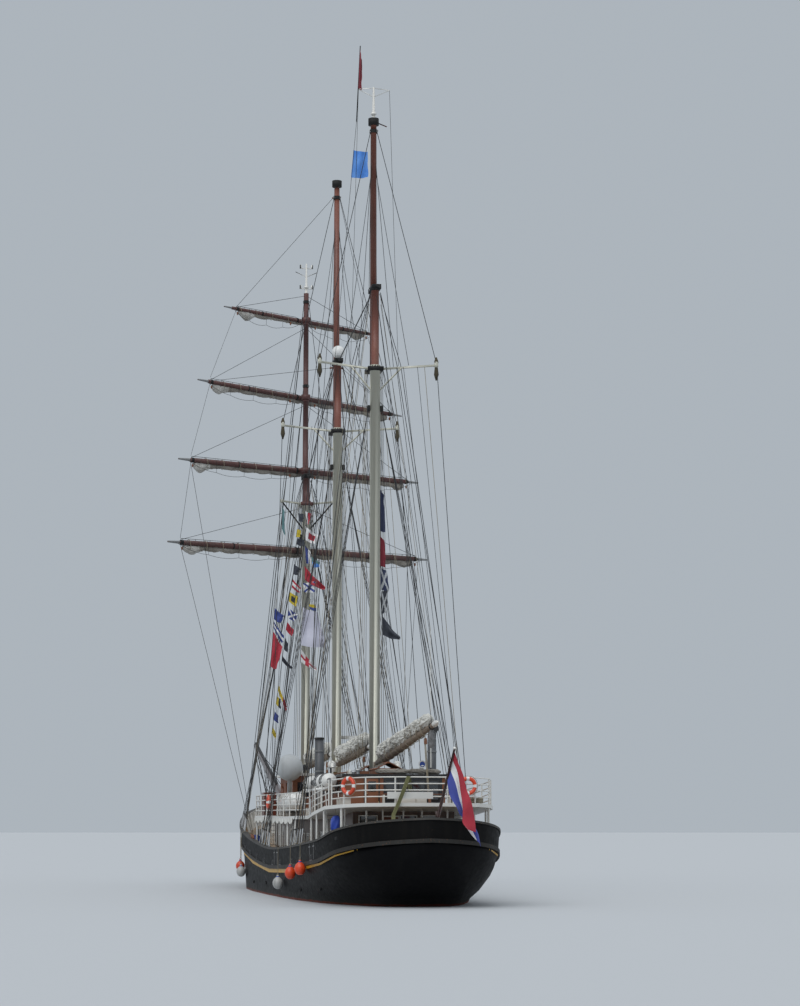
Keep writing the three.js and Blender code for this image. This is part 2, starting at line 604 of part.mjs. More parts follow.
// Cross bars with their lamps on the fore pole, and two raking stays.
function lampBars(x) {
  const { heights, half, radius, lamp, high } = LAMP_BAR;
  const foot = [x, 0, LAMP_STAY.z];
  const stays = [1, -1].map((side) => (
    bar([foot, [x, side * LAMP_STAY.half, LAMP_STAY.z + LAMP_STAY.rise]], LAMP_STAY.radius, 5)));
  const bars = heights.flatMap((z) => [
    bar([[x, -half, z], [x, half, z]], radius, 6),
    ...[-1, 1].map((side) => post(x, side * (half - lamp), z, z + high, lamp, lamp, 8)),
  ]);
  return [...bars, ...stays];
}

function mast([name, x, floor, cross, cap, head, tip, span, sweep]) {
  const fore = x + TOPMAST.forward;
  const boom = BOOMS.find((row) => row[0] === name);
  const capTop = cap + CAP_PLATE.thick;
  const hole = post(fore, 0, cap - 1, cap + 1, topmastRadius(cross, head, cap) + GAP);
  const lower = [
    post(x, 0, standOn(floor, x, LOWER_RADIUS), cross + 0.1, LOWER_RADIUS),
    post(x, 0, cross, cap + 0.1, HEAD_RADIUS),
    box(x - TREE.aft, x + TREE.forward, -TREE.half, TREE.half, cross - TREE.thick, cross),
    box(x - CAP_PLATE.aft, x + CAP_PLATE.forward, -CAP_PLATE.half, CAP_PLATE.half, cap, capTop),
    spreader(x, cross - TREE.thick / 2, span, sweep, 1),
    spreader(x, cross - TREE.thick / 2, span, sweep, -1),
    cheeks(x, boom[2]),
  ];
  if (name === 'fore') lower.push(lowerYardSeat(x));
  if (name === 'main') lower.push(radarBracket(x));
  piece(`${name}_lower_mast`, join(lower).subtract(hole), 'cream');

  const upper = [
    post(fore, 0, cross + GAP, head, TOPMAST.heel, TOPMAST.head),
    post(fore, 0, head - TRUCK.high / 2, tip, TOPMAST.pole, TOPMAST.tip, 8),
  ];
  if (TRUCKS[name]) upper.push(post(fore, 0, TRUCKS[name] - TRUCK.high, TRUCKS[name], TRUCK.radius));
  if (name === 'mizzen') upper.push(...mizzenHead(fore, head));
  if (name === 'fore') upper.push(...yardBands(fore), ...lampBars(fore));
  piece(`${name}_topmast`, join(upper), 'brown');
}

// Arm on the fore mast that the lowest yard turns on.
function lowerYardSeat(x) {
  const [, z] = YARDS[0];
  const top = z - PARREL.high / 2 - GAP;
  const pin = x + YARD_AHEAD.lower;
  return join([
    box(x, pin, -SEAT.arm, SEAT.arm, top - PARREL.band, top),
    post(pin, 0, top - PARREL.band, top, SEAT.plate),
    post(pin, 0, top - PARREL.band / 2, top + PARREL.high, SEAT.pin),
  ]);
}

function radarBracket(x) {
  const { ahead, y, z, arm, table, thick } = RADAR;
  const tip = [x + ahead, y, z - arm];
  return join([
    bar([[x, 0, z - table * 2], tip], arm, 6),
    bar([[x, 0, z - arm], tip], arm, 4),
    post(x + ahead, y, z - thick, z, table),
  ]);
}

function radarScanner() {
  const x = MASTS[1][1] + RADAR.ahead;
  const { y, long, hub, half, high } = RADAR;
  const z = RADAR.z + RADAR.raised;
  piece('radar_scanner', join([
    post(x, y, RADAR.z + GAP, z, hub),
    box(x - half, x + half, y - long / 2, y + long / 2, z - high / 8, z + high),
  ]), 'white');
}

// A ball at z on a stalk that stands at foot.
function dome(name, x, y, foot, z, radius, stalk) {
  const outline = Array.from({ length: 9 }, (_, i) => {
    const angle = rad(20 * i);
    return new THREE.Vector2(radius * Math.sin(angle), -radius * Math.cos(angle));
  });
  outline.push(new THREE.Vector2(0, radius));
  outline[0].x = 0;
  const ball = new THREE.LatheGeometry(outline, 16).rotateX(Math.PI / 2).scale(M, M, M);
  const body = solid(ball.translate(x * M, y * M, z * M));
  piece(name, body.add(post(x, y, foot, z - radius / 2, stalk)), 'white');
}

function domes() {
  const [, mainX, , , cap] = MASTS[1];
  const plateTop = cap + CAP_PLATE.thick;
  const ballZ = plateTop + RADOME.radius + RADOME.lift;
  dome('radome', mainX - RADOME.aft, 0, plateTop + GAP, ballZ, RADOME.radius, RADOME.stalk);

  const { x, y, z, radius, stalk } = SATELLITE_DOME;
  dome('satellite_dome', x, y, standOn(upperAt, x, stalk), z, radius, stalk);
}

// Point on a line from start in a direction given by turn and rise in degrees.
function along(start, turn, rise, distance) {
  const flat = distance * Math.cos(rad(rise));
  return [
    start[0] + flat * Math.cos(rad(turn)),
    start[1] + flat * Math.sin(rad(turn)),
    start[2] + distance * Math.sin(rad(rise)),
  ];
}

function boom([name, mastX, z, length, rise, swing, depth]) {
  const pin = [mastX - BOOM.aft, 0, z];
  const point = (distance, up = 0) => {
    const [x, y, height] = along(pin, 180 + swing, rise, distance);
    return [x, y, height + up];
  };
  const sizes = [BOOM.radius, BOOM.radius, BOOM.end];
  const spar = bar([BOOM.neckLong, length * 0.5, length].map((distance) => point(distance)), sizes, 10);
  const neck = bar([point(0), point(BOOM.neckLong + BOOM.neck)], BOOM.neck, 8);
  const eye = post(pin[0], pin[1], z - GOOSENECK.high / 2, z + GOOSENECK.high / 2, GOOSENECK.radius);
  const body = join([spar, neck, eye]);
  piece(`${name}_boom`, body, 'grey');

  // Columns: share of the length, size of the furled sail there
  const folds = [[0.08, 0.5], [0.14, 0.95], [0.5, 1.0], [0.8, 0.8], [0.92, 0.4]];
  const sail = bar(
    folds.map(([share, size]) => point(length * share, BOOM.radius * 0.5 + depth * size * 0.75)),
    folds.map(([, size]) => depth * size), 10, 0.85,
  );
  const room = bar([point(0), point(length * 0.5), point(length)], sizes.map((size) => size + 2 * GAP), 10);
  piece(`${name}_sail`, sail.subtract(room), 'canvas');
}

function yard([name, z, half, lift, radius], order) {
  const foreX = MASTS[2][1];
  const lowest = order === 0;
  const pin = [foreX + (lowest ? YARD_AHEAD.lower : TOPMAST.forward), 0, z];
  const centre = along(pin, BRACE, 0, YARD_AHEAD.offset);
  const point = (distance, up = 0) => {
    const [x, y, height] = along(centre, BRACE + 90, lift, distance);
    return [x, y, height + up];
  };
  const spar = (extra) => bar(
    YARD_TAPER.map(([share]) => point(half * share)),
    YARD_TAPER.map(([, size]) => radius * size + extra), 10,
  );
  const inside = lowest ? SEAT.pin : topmastRadius(MASTS[2][3], MASTS[2][5], z);
  const outside = Math.max(inside + PARREL.wall, PARREL.least);
  const { high, sides } = PARREL;
  const hub = post(pin[0], pin[1], z - high / 2, z + high / 2, outside, outside, sides);
  // The hole's flats clear the round mast's corners
  const bore = inside * 1.04 + 0.004;
  const hole = post(pin[0], pin[1], z - high, z + high, bore, bore, sides);
  const truss = bar([pin, centre], YARD_AHEAD.truss, 7);
  piece(`${name}_yard`, join([spar(0), hub, truss]).subtract(hole), 'brown');

  const { ahead, below, girth } = YARD_SAIL;
  const sail = bar(
    YARD_FOLDS.map(([share]) => {
      const [x, y, height] = point(half * share, -radius * below);
      return [x + radius * ahead, y, height];
    }),
    YARD_FOLDS.map(([, size]) => radius * girth * size), 8,
  );
  piece(`${name}_sail`, sail.subtract(spar(2 * GAP)), 'canvas');
}

function shrouds([name, feet], side) {
  const [, x, , cross] = MASTS.find((row) => row[0] === name);
  const top = cross - HOUND.below;
  const face = LOWER_RADIUS + GAP;
  const headY = face + HOUND.deep / 2;
  const [y0, y1] = [side * face, side * (face + HOUND.deep)].sort((a, b) => a - b);
  const [halfWide, halfHigh] = [HOUND.wide / 2, HOUND.high / 2];
  const hound = box(x - halfWide, x + halfWide, y0, y1, top - halfHigh, top + halfHigh);
  const footY = (footX) => at(STATIONS, B_RAIL, footX) - WIRE;
  const wires = feet.flatMap((footX) => {
    const { half, wide, high } = CHAINPLATE;
    const y = side * footY(footX);
    const foot = standOn(railAt, footX, half);
    return [
      bar([[x, side * headY, top], [footX, y, foot + 2 * WIRE]], WIRE, 6),
      box(footX - half, footX + half, y - wide, y + wide, foot, foot + high),
    ];
  });
  const pole = [feet[0], feet[feet.length - 1]].map((footX) => {
    const share = SHEER_POLE.high / (top - railAt(footX));
    return [
      footX + (x - footX) * share, side * THREE.MathUtils.lerp(footY(footX), headY, share),
      railAt(footX) + SHEER_POLE.high,
    ];
  });
  const rigged = join([hound, ...wires, bar(pole, SHEER_POLE.radius, 6)]);
  piece(`${name}_shrouds_${side > 0 ? 'port' : 'starboard'}`, rigged, 'wire');
}

// Height of the bowsprit's axis.
const bowspritAt = (x) => BOWSPRIT.atStem + (x - 27.5) * BOWSPRIT.slope;
const bowspritRadius = (x) => THREE.MathUtils.mapLinear(
  Math.max(x, 27.5), 27.5, BOWSPRIT.tip, BOWSPRIT.radius, BOWSPRIT.end);

function bowsprit() {
  const stations = [BOWSPRIT.heel, 27.5, BOWSPRIT.tip];
  const spar = bar(stations.map((x) => [x, 0, bowspritAt(x)]), stations.map(bowspritRadius), 12);
  const heel = box(
    BOWSPRIT.heel + 0.1, BOWSPRIT.heel + 0.7, -0.35, 0.35,
    standOn(deckAt, BOWSPRIT.heel + 0.4, 0.3), bowspritAt(BOWSPRIT.heel) + 0.3,
  );
  const gammon = box(27.25, 27.7, -0.12, 0.12, STEM_TOP + GAP, bowspritAt(27.3));
  piece('bowsprit', join([spar, heel, gammon]), 'varnish');
}

// The head stays share a strap on top of the bowsprit.
function headStays() {
  const steep = Math.hypot(1, BOWSPRIT.slope);
  const top = (x) => bowspritAt(x) + bowspritRadius(x) * steep + 2 * GAP;
  const above = (x) => top(x) + 0.06;
  const strap = loft([28.6, BOWSPRIT.tip - 0.2].map((x) => mirrored([
    [x, 0.07, top(x)], [x, 0.07, top(x) + 0.1],
  ])));
  const [, foreX, , cross, , head] = MASTS[2];
  const stays = HEAD_STAYS.flatMap(([footX, z]) => {
    const onTopmast = z > cross;
    const low = z - STAY_EYE.below;
    const radius = onTopmast ? topmastRadius(cross, head, low) : LOWER_RADIUS;
    const face = foreX + (onTopmast ? TOPMAST.forward : 0) + radius + GAP;
    const { long, half, above: raised } = STAY_EYE;
    return [
      bar([[footX, 0, above(footX)], [face + long / 2, 0, z]], WIRE, 6),
      box(face, face + long, -half, half, low, z + raised),
    ];
  });
  piece('head_stays', join([strap, ...stays]), 'wire');
}

// Level stays between neighbouring mast caps.
function triaticStay(name, after, before) {
  const [, x0, , , z0] = after;
  const [, x1, , , z1] = before;
  const from = x0 + CAP_PLATE.forward + GAP;
  const to = x1 - CAP_PLATE.aft - GAP;
  const middle = CAP_PLATE.thick / 2;
  piece(name, join([
    bar([[from + 0.1, 0, z0 + middle], [to - 0.1, 0, z1 + middle]], WIRE, 6),
    box(from, from + 0.16, -0.06, 0.06, z0 + 0.04, z0 + 0.2),
    box(to - 0.16, to, -0.06, 0.06, z1 + 0.04, z1 + 0.2),
  ]), 'wire');
}

function propeller() {
  const { x, z, radius, hub, long } = PROPELLER;
  const blades = [0, 1, 2, 3].map((i) => {
    const blade = new THREE.BoxGeometry(0.06 * M, 0.55 * M, (radius - 0.1) * M)
      .translate(0, 0, ((radius + 0.1) / 2) * M)
      .rotateZ(rad(28));
    return solid(blade.rotateX(rad(90 * i)).translate((x - long / 2) * M, 0, z * M));
  });
  const boss = bar([[x, 0, z], [x - long, 0, z]], [hub, hub * 0.7], 12);
  piece('propeller', join([boss, ...blades]), 'bronze');
}

function rudder() {
  const { x, top, bottom, lead, tail, thick, edge, stock, pintle } = RUDDER;
  const starboard = [[x + lead, -edge], [x, -thick / 2], [x - tail, -edge]];
  const plan = starboard.concat(starboard.map(([px, py]) => [px, -py]).reverse());
  const blade = loft([bottom, top].map((z) => plan.map(([px, py]) => [px, py, z])));
  const shaft = post(x, 0, top - stock, top + RUDDER.gap - GAP, stock);
  const heel = post(x, 0, SHOE_TOP + GAP, bottom + pintle, pintle);
  piece('rudder', join([blade, shaft, heel]), 'black');
}

function stack(name, side) {
  const { x, y, radius, top } = STACK;
  piece(name, post(x, side * y, standOn(upperAt, x, radius), top, radius), 'grey');
}

function rafts(name, side) {
  const { y: rackY, tube, step, beyond, inward } = RACK;
  const ends = [RAFT.places[0] - beyond, RAFT.places[2] + beyond];
  const tubeZ = RAFT.z - RAFT.under;
  const parts = [bar(ends.map((x) => [x, side * rackY, tubeZ]), tube, 6)];
  RAFT.places.forEach((x) => {
    const canister = [-0.5, 0.5].map((share) => [x + RAFT.long * share, side * RAFT.y, RAFT.z]);
    parts.push(bar(canister, RAFT.radius, 12));
    [x - step, x + step].forEach((px) => {
      const [y0, y1] = [side * (RAFT.y - inward), side * rackY].sort((a, b) => a - b);
      parts.push(box(px - tube, px + tube, y0, y1, tubeZ - tube, tubeZ + 2 * tube));
      parts.push(post(px, side * rackY, standOn(upperAt, px, tube), tubeZ, tube, tube, 6));
    });
  });
  piece(name, join(parts), 'white');
}

function tender(name, side) {
  const { aft, forward, y, half, keel, gunwale, ridge } = TENDER;
  const length = forward - aft;
  // Columns: share of the length, share of the half-breadth, share of the depth
  const rings = [[0, 0.7, 0.75], [0.1, 0.9, 0.95], [0.45, 1, 1], [0.8, 0.75, 0.9], [1, 0.12, 0.35]];
  const body = loft(rings.map(([share, wide, deep]) => {
    const x = aft + length * share;
    const b = half * wide;
    const low = gunwale - (gunwale - keel) * deep;
    const high = gunwale + (ridge - gunwale) * (0.4 + 0.6 * deep);
    return [
      [x, side * y + b, gunwale], [x, side * y + b * 0.45, high], [x, side * y - b * 0.45, high],
      [x, side * y - b, gunwale], [x, side * y - b * 0.6, low], [x, side * y + b * 0.6, low],
    ];
  }));
  const chocks = [0.25, 0.7].map((share) => {
    const x = aft + length * share;
    return box(x - 0.08, x + 0.08, side * y - 0.4, side * y + 0.4, standOn(upperAt, x, 0.08), keel + 0.15);
  });
  piece(name, join([body, ...chocks]), 'white');
}

function windlass() {
  const { x, cheek, high, axle, rollers } = WINDLASS;
  const z = standOn(deckAt, x, cheek.half);
  const roller = ([y0, y1, radius]) => bar([[x, y0, z + axle], [x, y1, z + axle]], radius, 12);
  const sides = [1, -1].map((side) => {
    const [y0, y1] = cheek.y.map((y) => side * y).sort((a, b) => a - b);
    return box(x - cheek.half, x + cheek.half, y0, y1, z, z + high);
  });
  piece('windlass', join([...sides, ...rollers.map(roller)]), 'grey');
}

// A stocked anchor that lies on the fore deck.
function anchor(name, side) {
  const { crown, ring, radius, fluke, stock } = ANCHOR;
  const y = side * ANCHOR.y;
  const z = (x) => deckAt(x) + radius + 2 * GAP;
  const throat = crown + fluke / 2;
  const arms = [-fluke, fluke].map((reach) => (
    bar([[crown, y + reach, z(crown) + 0.03], [throat, y, z(throat) + 0.01]], radius, 8)));
  const stockX = ring - 2 * radius;
  piece(name, join([
    bar([[crown, y, z(crown)], [ring, y, z(ring)]], radius, 8),
    ...arms,
    bar([[stockX, y, z(ring)], [stockX, y, z(ring) + stock]], radius * 0.8, 7),
  ]), 'black');
}

function flagstaff() {
  const { foot, head, radius, socket, truck } = FLAGSTAFF;
  const [x, y] = foot;
  const z = standOn(railAt, x, socket);
  const staff = bar([foot, head], [radius, radius * STAFF_TAPER], 8);
  const holder = box(x - socket, x + socket, y - socket, y + socket, z, z + 3 * socket);
  const ball = post(head[0], head[1], head[2] - truck / 4, head[2] + truck, truck, truck * 0.6, 8);
  const below = box(x - 1, x + 1, -1, 1, z - 1, z);
  piece('flagstaff', join([staff, holder, ball]).subtract(below), 'varnish');
}

// The flag hangs from the staff in one long fold.
function ensign() {
  const { foot, head, radius } = FLAGSTAFF;
  const beside = (share) => radius * THREE.MathUtils.lerp(1, STAFF_TAPER, share) + 2 * GAP;
  const staff = (share) => foot.map((value, i) => (
    value + (head[i] - value) * share - (i === 1 ? beside(share) : 0)));
  // Columns: x, y and z of the upper edge, then of the lower edge, half-thickness
  const folds = [
    [...staff(0.97), ...staff(0.58), 0.04],
    [-28.45, -1.25, 6.35, -28.15, -1.15, 4.9, 0.1],
    [-28.45, -1.75, 5.1, -28.3, -1.45, 4.0, 0.12],
    [-28.45, -2.35, 3.35, -28.4, -2.05, 2.9, 0.08],
  ];
  piece('ensign', loft(folds.map(([x0, y0, z0, x1, y1, z1, thick]) => [
    [x0 - thick, y0, z0], [x0 + thick, y0, z0], [x1 + thick, y1, z1], [x1 - thick, y1, z1],
  ])), 'flag');
}

hull();
bulwark('bulwark_port', 1);
bulwark('bulwark_starboard', -1);
upperDeck();
railings();
houses();
wheelhouse();
door('wheelhouse_door_port', 1);
door('wheelhouse_door_starboard', -1);
MASTS.forEach(mast);
domes();
radarScanner();
BOOMS.forEach(boom);
YARDS.forEach(yard);
SHROUDS.forEach((row) => [1, -1].forEach((side) => shrouds(row, side)));
bowsprit();
headStays();
triaticStay('triatic_stay_aft', MASTS[0], MASTS[1]);
triaticStay('triatic_stay_fore', MASTS[1], MASTS[2]);
propeller();
rudder();
stack('stack_port', 1);
stack('stack_starboard', -1);
rafts('liferafts_port', 1);
rafts('liferafts_starboard', -1);
tender('tender_port', 1);
tender('tender_starboard', -1);
windlass();
anchor('anchor_port', 1);
anchor('anchor_starboard', -1);
flagstaff();
ensign();

export default ship;
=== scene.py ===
"""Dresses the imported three-masted topsail schooner, a 1:2 scale model, for its renders.

Sizes are in metres of the real ship. A Form scales its mesh to the model when it is placed.
X points to the bow, Y to port and Z up, and the waterline is at Z 0.
"""

import json
import logging
import math
import random
from dataclasses import dataclass
from enum import Enum
from typing import Callable, Iterable, Sequence

import bmesh
import bpy
from mathutils import Matrix, Vector, noise
from mathutils.bvhtree import BVHTree

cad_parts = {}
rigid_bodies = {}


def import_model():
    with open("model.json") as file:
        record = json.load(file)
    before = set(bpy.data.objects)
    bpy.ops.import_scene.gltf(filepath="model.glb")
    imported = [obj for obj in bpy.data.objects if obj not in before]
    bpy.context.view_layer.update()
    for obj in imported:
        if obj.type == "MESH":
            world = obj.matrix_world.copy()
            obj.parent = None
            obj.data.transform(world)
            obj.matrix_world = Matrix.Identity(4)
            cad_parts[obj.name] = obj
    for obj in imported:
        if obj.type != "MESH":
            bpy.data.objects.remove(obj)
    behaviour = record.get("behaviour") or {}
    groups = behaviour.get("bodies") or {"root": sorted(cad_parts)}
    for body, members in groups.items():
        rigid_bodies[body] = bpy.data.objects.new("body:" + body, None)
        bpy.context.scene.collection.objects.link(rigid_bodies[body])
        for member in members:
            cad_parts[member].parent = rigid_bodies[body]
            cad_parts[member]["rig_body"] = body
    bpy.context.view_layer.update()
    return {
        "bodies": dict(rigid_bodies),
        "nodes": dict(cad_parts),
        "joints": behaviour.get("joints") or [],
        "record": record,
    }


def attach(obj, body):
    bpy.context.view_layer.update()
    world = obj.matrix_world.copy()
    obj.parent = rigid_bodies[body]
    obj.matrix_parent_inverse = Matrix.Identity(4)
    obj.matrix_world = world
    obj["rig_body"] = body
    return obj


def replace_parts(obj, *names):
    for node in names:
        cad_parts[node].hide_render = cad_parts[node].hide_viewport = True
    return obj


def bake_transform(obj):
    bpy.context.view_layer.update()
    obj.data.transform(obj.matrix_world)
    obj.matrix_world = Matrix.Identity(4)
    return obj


log = logging.getLogger("schooner")

SCALE = 0.5
UP = Vector((0, 0, 1))
AHEAD = Vector((1, 0, 0))
AFT = Vector((-1, 0, 0))
SIDES = (1, -1)
Colour = tuple[float, float, float]
Point = Sequence[float]


def side_name(side: int) -> str:
    """The name of the side 1 or -1."""
    return "port" if side > 0 else "starboard"


def both(name: str) -> tuple[str, str]:
    """A name on the port and on the starboard side."""
    return f"{name}_port", f"{name}_starboard"


def upright(way: Vector) -> Matrix:
    """The turn that takes the vertical to a direction."""
    return UP.rotation_difference(way).to_matrix()


def mesh_data(mesh: bmesh.types.BMesh, name: str) -> bpy.types.Mesh:
    """Turns a mesh in the making into an object's data, and frees it.

    Args:
        mesh: The mesh in the making.
        name: The data's name.

    Returns:
        The data.
    """
    data = bpy.data.meshes.new(name)
    mesh.to_mesh(data)
    mesh.free()
    return data


def add_object(name: str, data: bpy.types.ID) -> bpy.types.Object:
    """Makes an object of some data, and links it to the scene.

    Args:
        name: The object's name.
        data: A mesh, a light or a camera.

    Returns:
        The object.
    """
    made = bpy.data.objects.new(name, data)
    bpy.context.scene.collection.objects.link(made)
    return made


# Finishes


class Shader:
    """Builds one material's nodes in the order in which they act."""

    def __init__(self, name: str) -> None:
        """Starts a node material.

        Args:
            name: The material's name.
        """
        self.material = bpy.data.materials.new(name)
        self.material.use_nodes = True
        self.tree = self.material.node_tree
        self.skin = self.tree.nodes["Principled BSDF"]
        self.place = self.tree.nodes.new("ShaderNodeTexCoord").outputs["Object"]

    def node(self, kind: str, inputs: dict | None = None, **settings: object) -> bpy.types.Node:
        """Adds a node.

        Args:
            kind: The node's type name.
            inputs: Values or sockets by input name or number.
            settings: The node's own settings.

        Returns:
            The new node.
        """
        made = self.tree.nodes.new(kind)
        for key, value in settings.items():
            setattr(made, key, value)
        for key, value in (inputs or {}).items():
            if isinstance(value, bpy.types.NodeSocket):
                self.tree.links.new(value, made.inputs[key])
            else:
                made.inputs[key].default_value = value
        return made

    def stretched(self, scale: Point, turn: Point = (0.0, 0.0, 0.0)) -> bpy.types.NodeSocket:
        """Object coordinates, stretched and turned on each axis."""
        inputs = {"Vector": self.place, "Scale": scale, "Rotation": turn}
        return self.node("ShaderNodeMapping", inputs).outputs[0]

    def noise(self, scale: float, detail: float = 4.0, stretch: Point = (1.0, 1.0, 1.0)) -> bpy.types.NodeSocket:
        """Cloudy grey noise, with the scale as its features in a metre."""
        inputs = {"Vector": self.stretched(stretch), "Scale": scale, "Detail": detail}
        return self.node("ShaderNodeTexNoise", inputs).outputs[0]

    def ramp(self, value: bpy.types.NodeSocket, low: float, high: float,
             to: tuple = (0.0, 1.0)) -> bpy.types.NodeSocket:
        """Spreads a value's range from low to high over the range to."""
        inputs = {0: value, 1: low, 2: high, 3: to[0], 4: to[1]}
        return self.node("ShaderNodeMapRange", inputs).outputs[0]

    def mix(self, share: object, first: object, second: object) -> bpy.types.NodeSocket:
        """Mixes two colours.

        Args:
            share: How much of the second colour, a number or a socket.
            first: A colour or a socket.
            second: A colour or a socket.

        Returns:
            The mixed colour's socket.
        """
        colours = [(*c, 1.0) if isinstance(c, tuple) else c for c in (first, second)]
        inputs = {0: share, 6: colours[0], 7: colours[1]}
        return self.node("ShaderNodeMix", inputs, data_type="RGBA").outputs[2]

    def math(self, how: str, first: object, second: object = 0.0) -> bpy.types.NodeSocket:
        """Does a sum, by the operation's name, on two numbers or sockets."""
        return self.node("ShaderNodeMath", {0: first, 1: second}, operation=how).outputs[0]

    def bump(self, height: bpy.types.NodeSocket, distance: float, strength: float = 1.0) -> None:
        """Adds relief to the surface, over any that is there.

        Args:
            height: The relief's socket.
            distance: The relief's depth in model metres.
            strength: How much of it shows.
        """
        inputs = {"Height": height, "Distance": distance, "Strength": strength}
        links = self.skin.inputs["Normal"].links
        if links:
            inputs["Normal"] = links[0].from_socket
        relief = self.node("ShaderNodeBump", inputs).outputs[0]
        self.tree.links.new(relief, self.skin.inputs["Normal"])

    def set(self, **sockets: object) -> None:
        """Sets the surface's own sockets, whose names have spaces for underscores."""
        for key, value in sockets.items():
            socket = self.skin.inputs[key.replace("_", " ")]
            if isinstance(value, bpy.types.NodeSocket):
                self.tree.links.new(value, socket)
            else:
                socket.default_value = (*value, 1.0) if isinstance(value, tuple) else value


@dataclass(frozen=True)
class Finish:
    """What every finish has: a name, a colour and a roughness."""

    name: str
    colour: Colour
    roughness: float = 0.5

    def paint(self, shader: Shader) -> None:
        """Adds this finish's nodes to the material in the making."""
        raise NotImplementedError

    def shaded(self, factor: float) -> Colour:
        """The finish's colour, made darker or lighter by a factor."""
        return tuple(min(1.0, c * factor) for c in self.colour)

    def material(self) -> bpy.types.Material:
        """The finish as a material, made at its first use.

        Returns:
            The material.
        """
        made = bpy.data.materials.get(self.name)
        if made is None:
            shader = Shader(self.name)
            self.paint(shader)
            made = shader.material
            made.diffuse_color = (*self.colour, 1.0)
        return made


@dataclass(frozen=True)
class Paint(Finish):
    """Brushed or sprayed paint, mottled, with runs of dirt and worn spots."""

    dirt: Colour = (0.12, 0.10, 0.08)
    grime: float = 0.35
    worn: Colour = (0.25, 0.2, 0.16)
    wear: float = 0.1
    gloss: float = 0.3
    shine: float = 0.5

    def paint(self, shader: Shader) -> None:
        """Adds this finish's nodes.

        Args:
            shader: The material in the making.
        """
        cloud = shader.ramp(shader.noise(0.9), 0.3, 0.7)
        base = shader.mix(cloud, self.shaded(0.8), self.shaded(1.12))
        runs = shader.ramp(shader.noise(6.0, 5.0, (1.0, 1.0, 0.07)), 0.52, 0.75, (0.0, self.grime))
        stained = shader.mix(runs, base, self.dirt)
        worn_off = (0.0, min(1.0, self.wear * 4))
        spots = shader.ramp(shader.noise(26.0, 8.0), 0.66 - 0.1 * self.wear, 0.70, worn_off)
        colour = shader.mix(spots, stained, self.worn)
        matt = (self.roughness - 0.08, min(1.0, self.roughness + 0.15))
        rough = shader.ramp(shader.noise(11.0), 0.2, 0.8, matt)
        shader.set(Base_Color=colour, Roughness=rough, Coat_Weight=self.gloss, Coat_Roughness=0.25)
        shader.set(Specular_IOR_Level=self.shine)
        shader.bump(shader.noise(40.0, 3.0), 0.0012)


@dataclass(frozen=True)
class HullPaint(Paint):
    """Black topside paint over dull red antifouling, with a rough edge at the waterline."""

    bottom: Colour = (0.14, 0.035, 0.022)
    weed: Colour = (0.035, 0.04, 0.02)

    def paint(self, shader: Shader) -> None:
        """Adds this finish's nodes.

        Args:
            shader: The material in the making.
        """
        super().paint(shader)
        height = shader.node("ShaderNodeSeparateXYZ", {0: shader.place}).outputs[2]
        edge = shader.math("ADD", height, shader.ramp(shader.noise(3.0, 6.0), 0.0, 1.0, (-0.03, 0.03)))
        above = shader.ramp(edge, 0.045, 0.06)
        topside = self.skin_colour(shader)
        scum = shader.ramp(height, 0.0, 0.22, (0.5, 0.0))
        topside = shader.mix(scum, topside, (0.045, 0.045, 0.04))
        growth = shader.ramp(shader.noise(5.0, 8.0), 0.5, 0.7, (0.0, 0.6))
        below = shader.mix(growth, self.bottom, self.weed)
        shader.set(Base_Color=shader.mix(above, below, topside))
        shader.bump(shader.noise(0.55, 1.0), 0.016)

    @staticmethod
    def skin_colour(shader: Shader) -> bpy.types.NodeSocket:
        """The colour that the plain paint gives the surface."""
        return shader.skin.inputs["Base Color"].links[0].from_socket


@dataclass(frozen=True)
class Planks(Finish):
    """Laid deck planks with dark caulked seams, along X."""

    seam: Colour = (0.03, 0.028, 0.025)
    width: float = 0.07

    def paint(self, shader: Shader) -> None:
        """Adds this finish's nodes.

        Args:
            shader: The material in the making.
        """
        inputs = {"Vector": shader.place, "Color1": (*self.shaded(1.2), 1.0), "Color2": (*self.shaded(0.75), 1.0),
                  "Mortar": (*self.seam, 1.0), "Scale": 1.0, "Mortar Size": 0.0035, "Brick Width": 2.6,
                  "Row Height": self.width}
        boards = shader.node("ShaderNodeTexBrick", inputs)
        grain = shader.ramp(shader.noise(14.0, 6.0, (0.12, 2.0, 1.0)), 0.3, 0.7, (0.0, 0.45))
        colour = shader.mix(grain, boards.outputs[0], self.shaded(0.6))
        damp = shader.ramp(shader.noise(0.8, 3.0), 0.45, 0.7, (0.0, 0.35))
        shader.set(Base_Color=shader.mix(damp, colour, self.shaded(0.5)), Roughness=self.roughness)
        shader.bump(boards.outputs[1], 0.002, -1.0)


@dataclass(frozen=True)
class Wood(Finish):
    """Varnished or oiled wood, with its grain along one axis."""

    dark: Colour = (0.05, 0.015, 0.006)
    grain: tuple = (1.0, 1.0, 0.08)
    coat: float = 0.6
    board: float = 0.12

    def paint(self, shader: Shader) -> None:
        """Adds this finish's nodes.

        Args:
            shader: The material in the making.
        """
        streaks = shader.ramp(shader.noise(22.0, 8.0, self.grain), 0.3, 0.72)
        cloud = shader.ramp(shader.noise(1.7, 3.0), 0.3, 0.7, (0.0, 0.5))
        base = shader.mix(streaks, self.dark, self.colour)
        faded = shader.mix(cloud, base, self.shaded(1.35))
        across = shader.stretched((0.5 / self.board, 0.5 / self.board, 0.0), (0.0, 0.0, 0.785))
        seams = shader.node("ShaderNodeTexWave", {"Vector": across, "Scale": 1.0}, wave_profile="SIN").outputs[1]
        groove = shader.ramp(seams, 0.0, 0.03, (0.7, 0.0))
        shader.set(Base_Color=shader.mix(groove, faded, (0.01, 0.005, 0.003)), Roughness=self.roughness)
        shader.set(Coat_Weight=self.coat, Coat_Roughness=0.15)
        shader.bump(streaks, 0.0006)


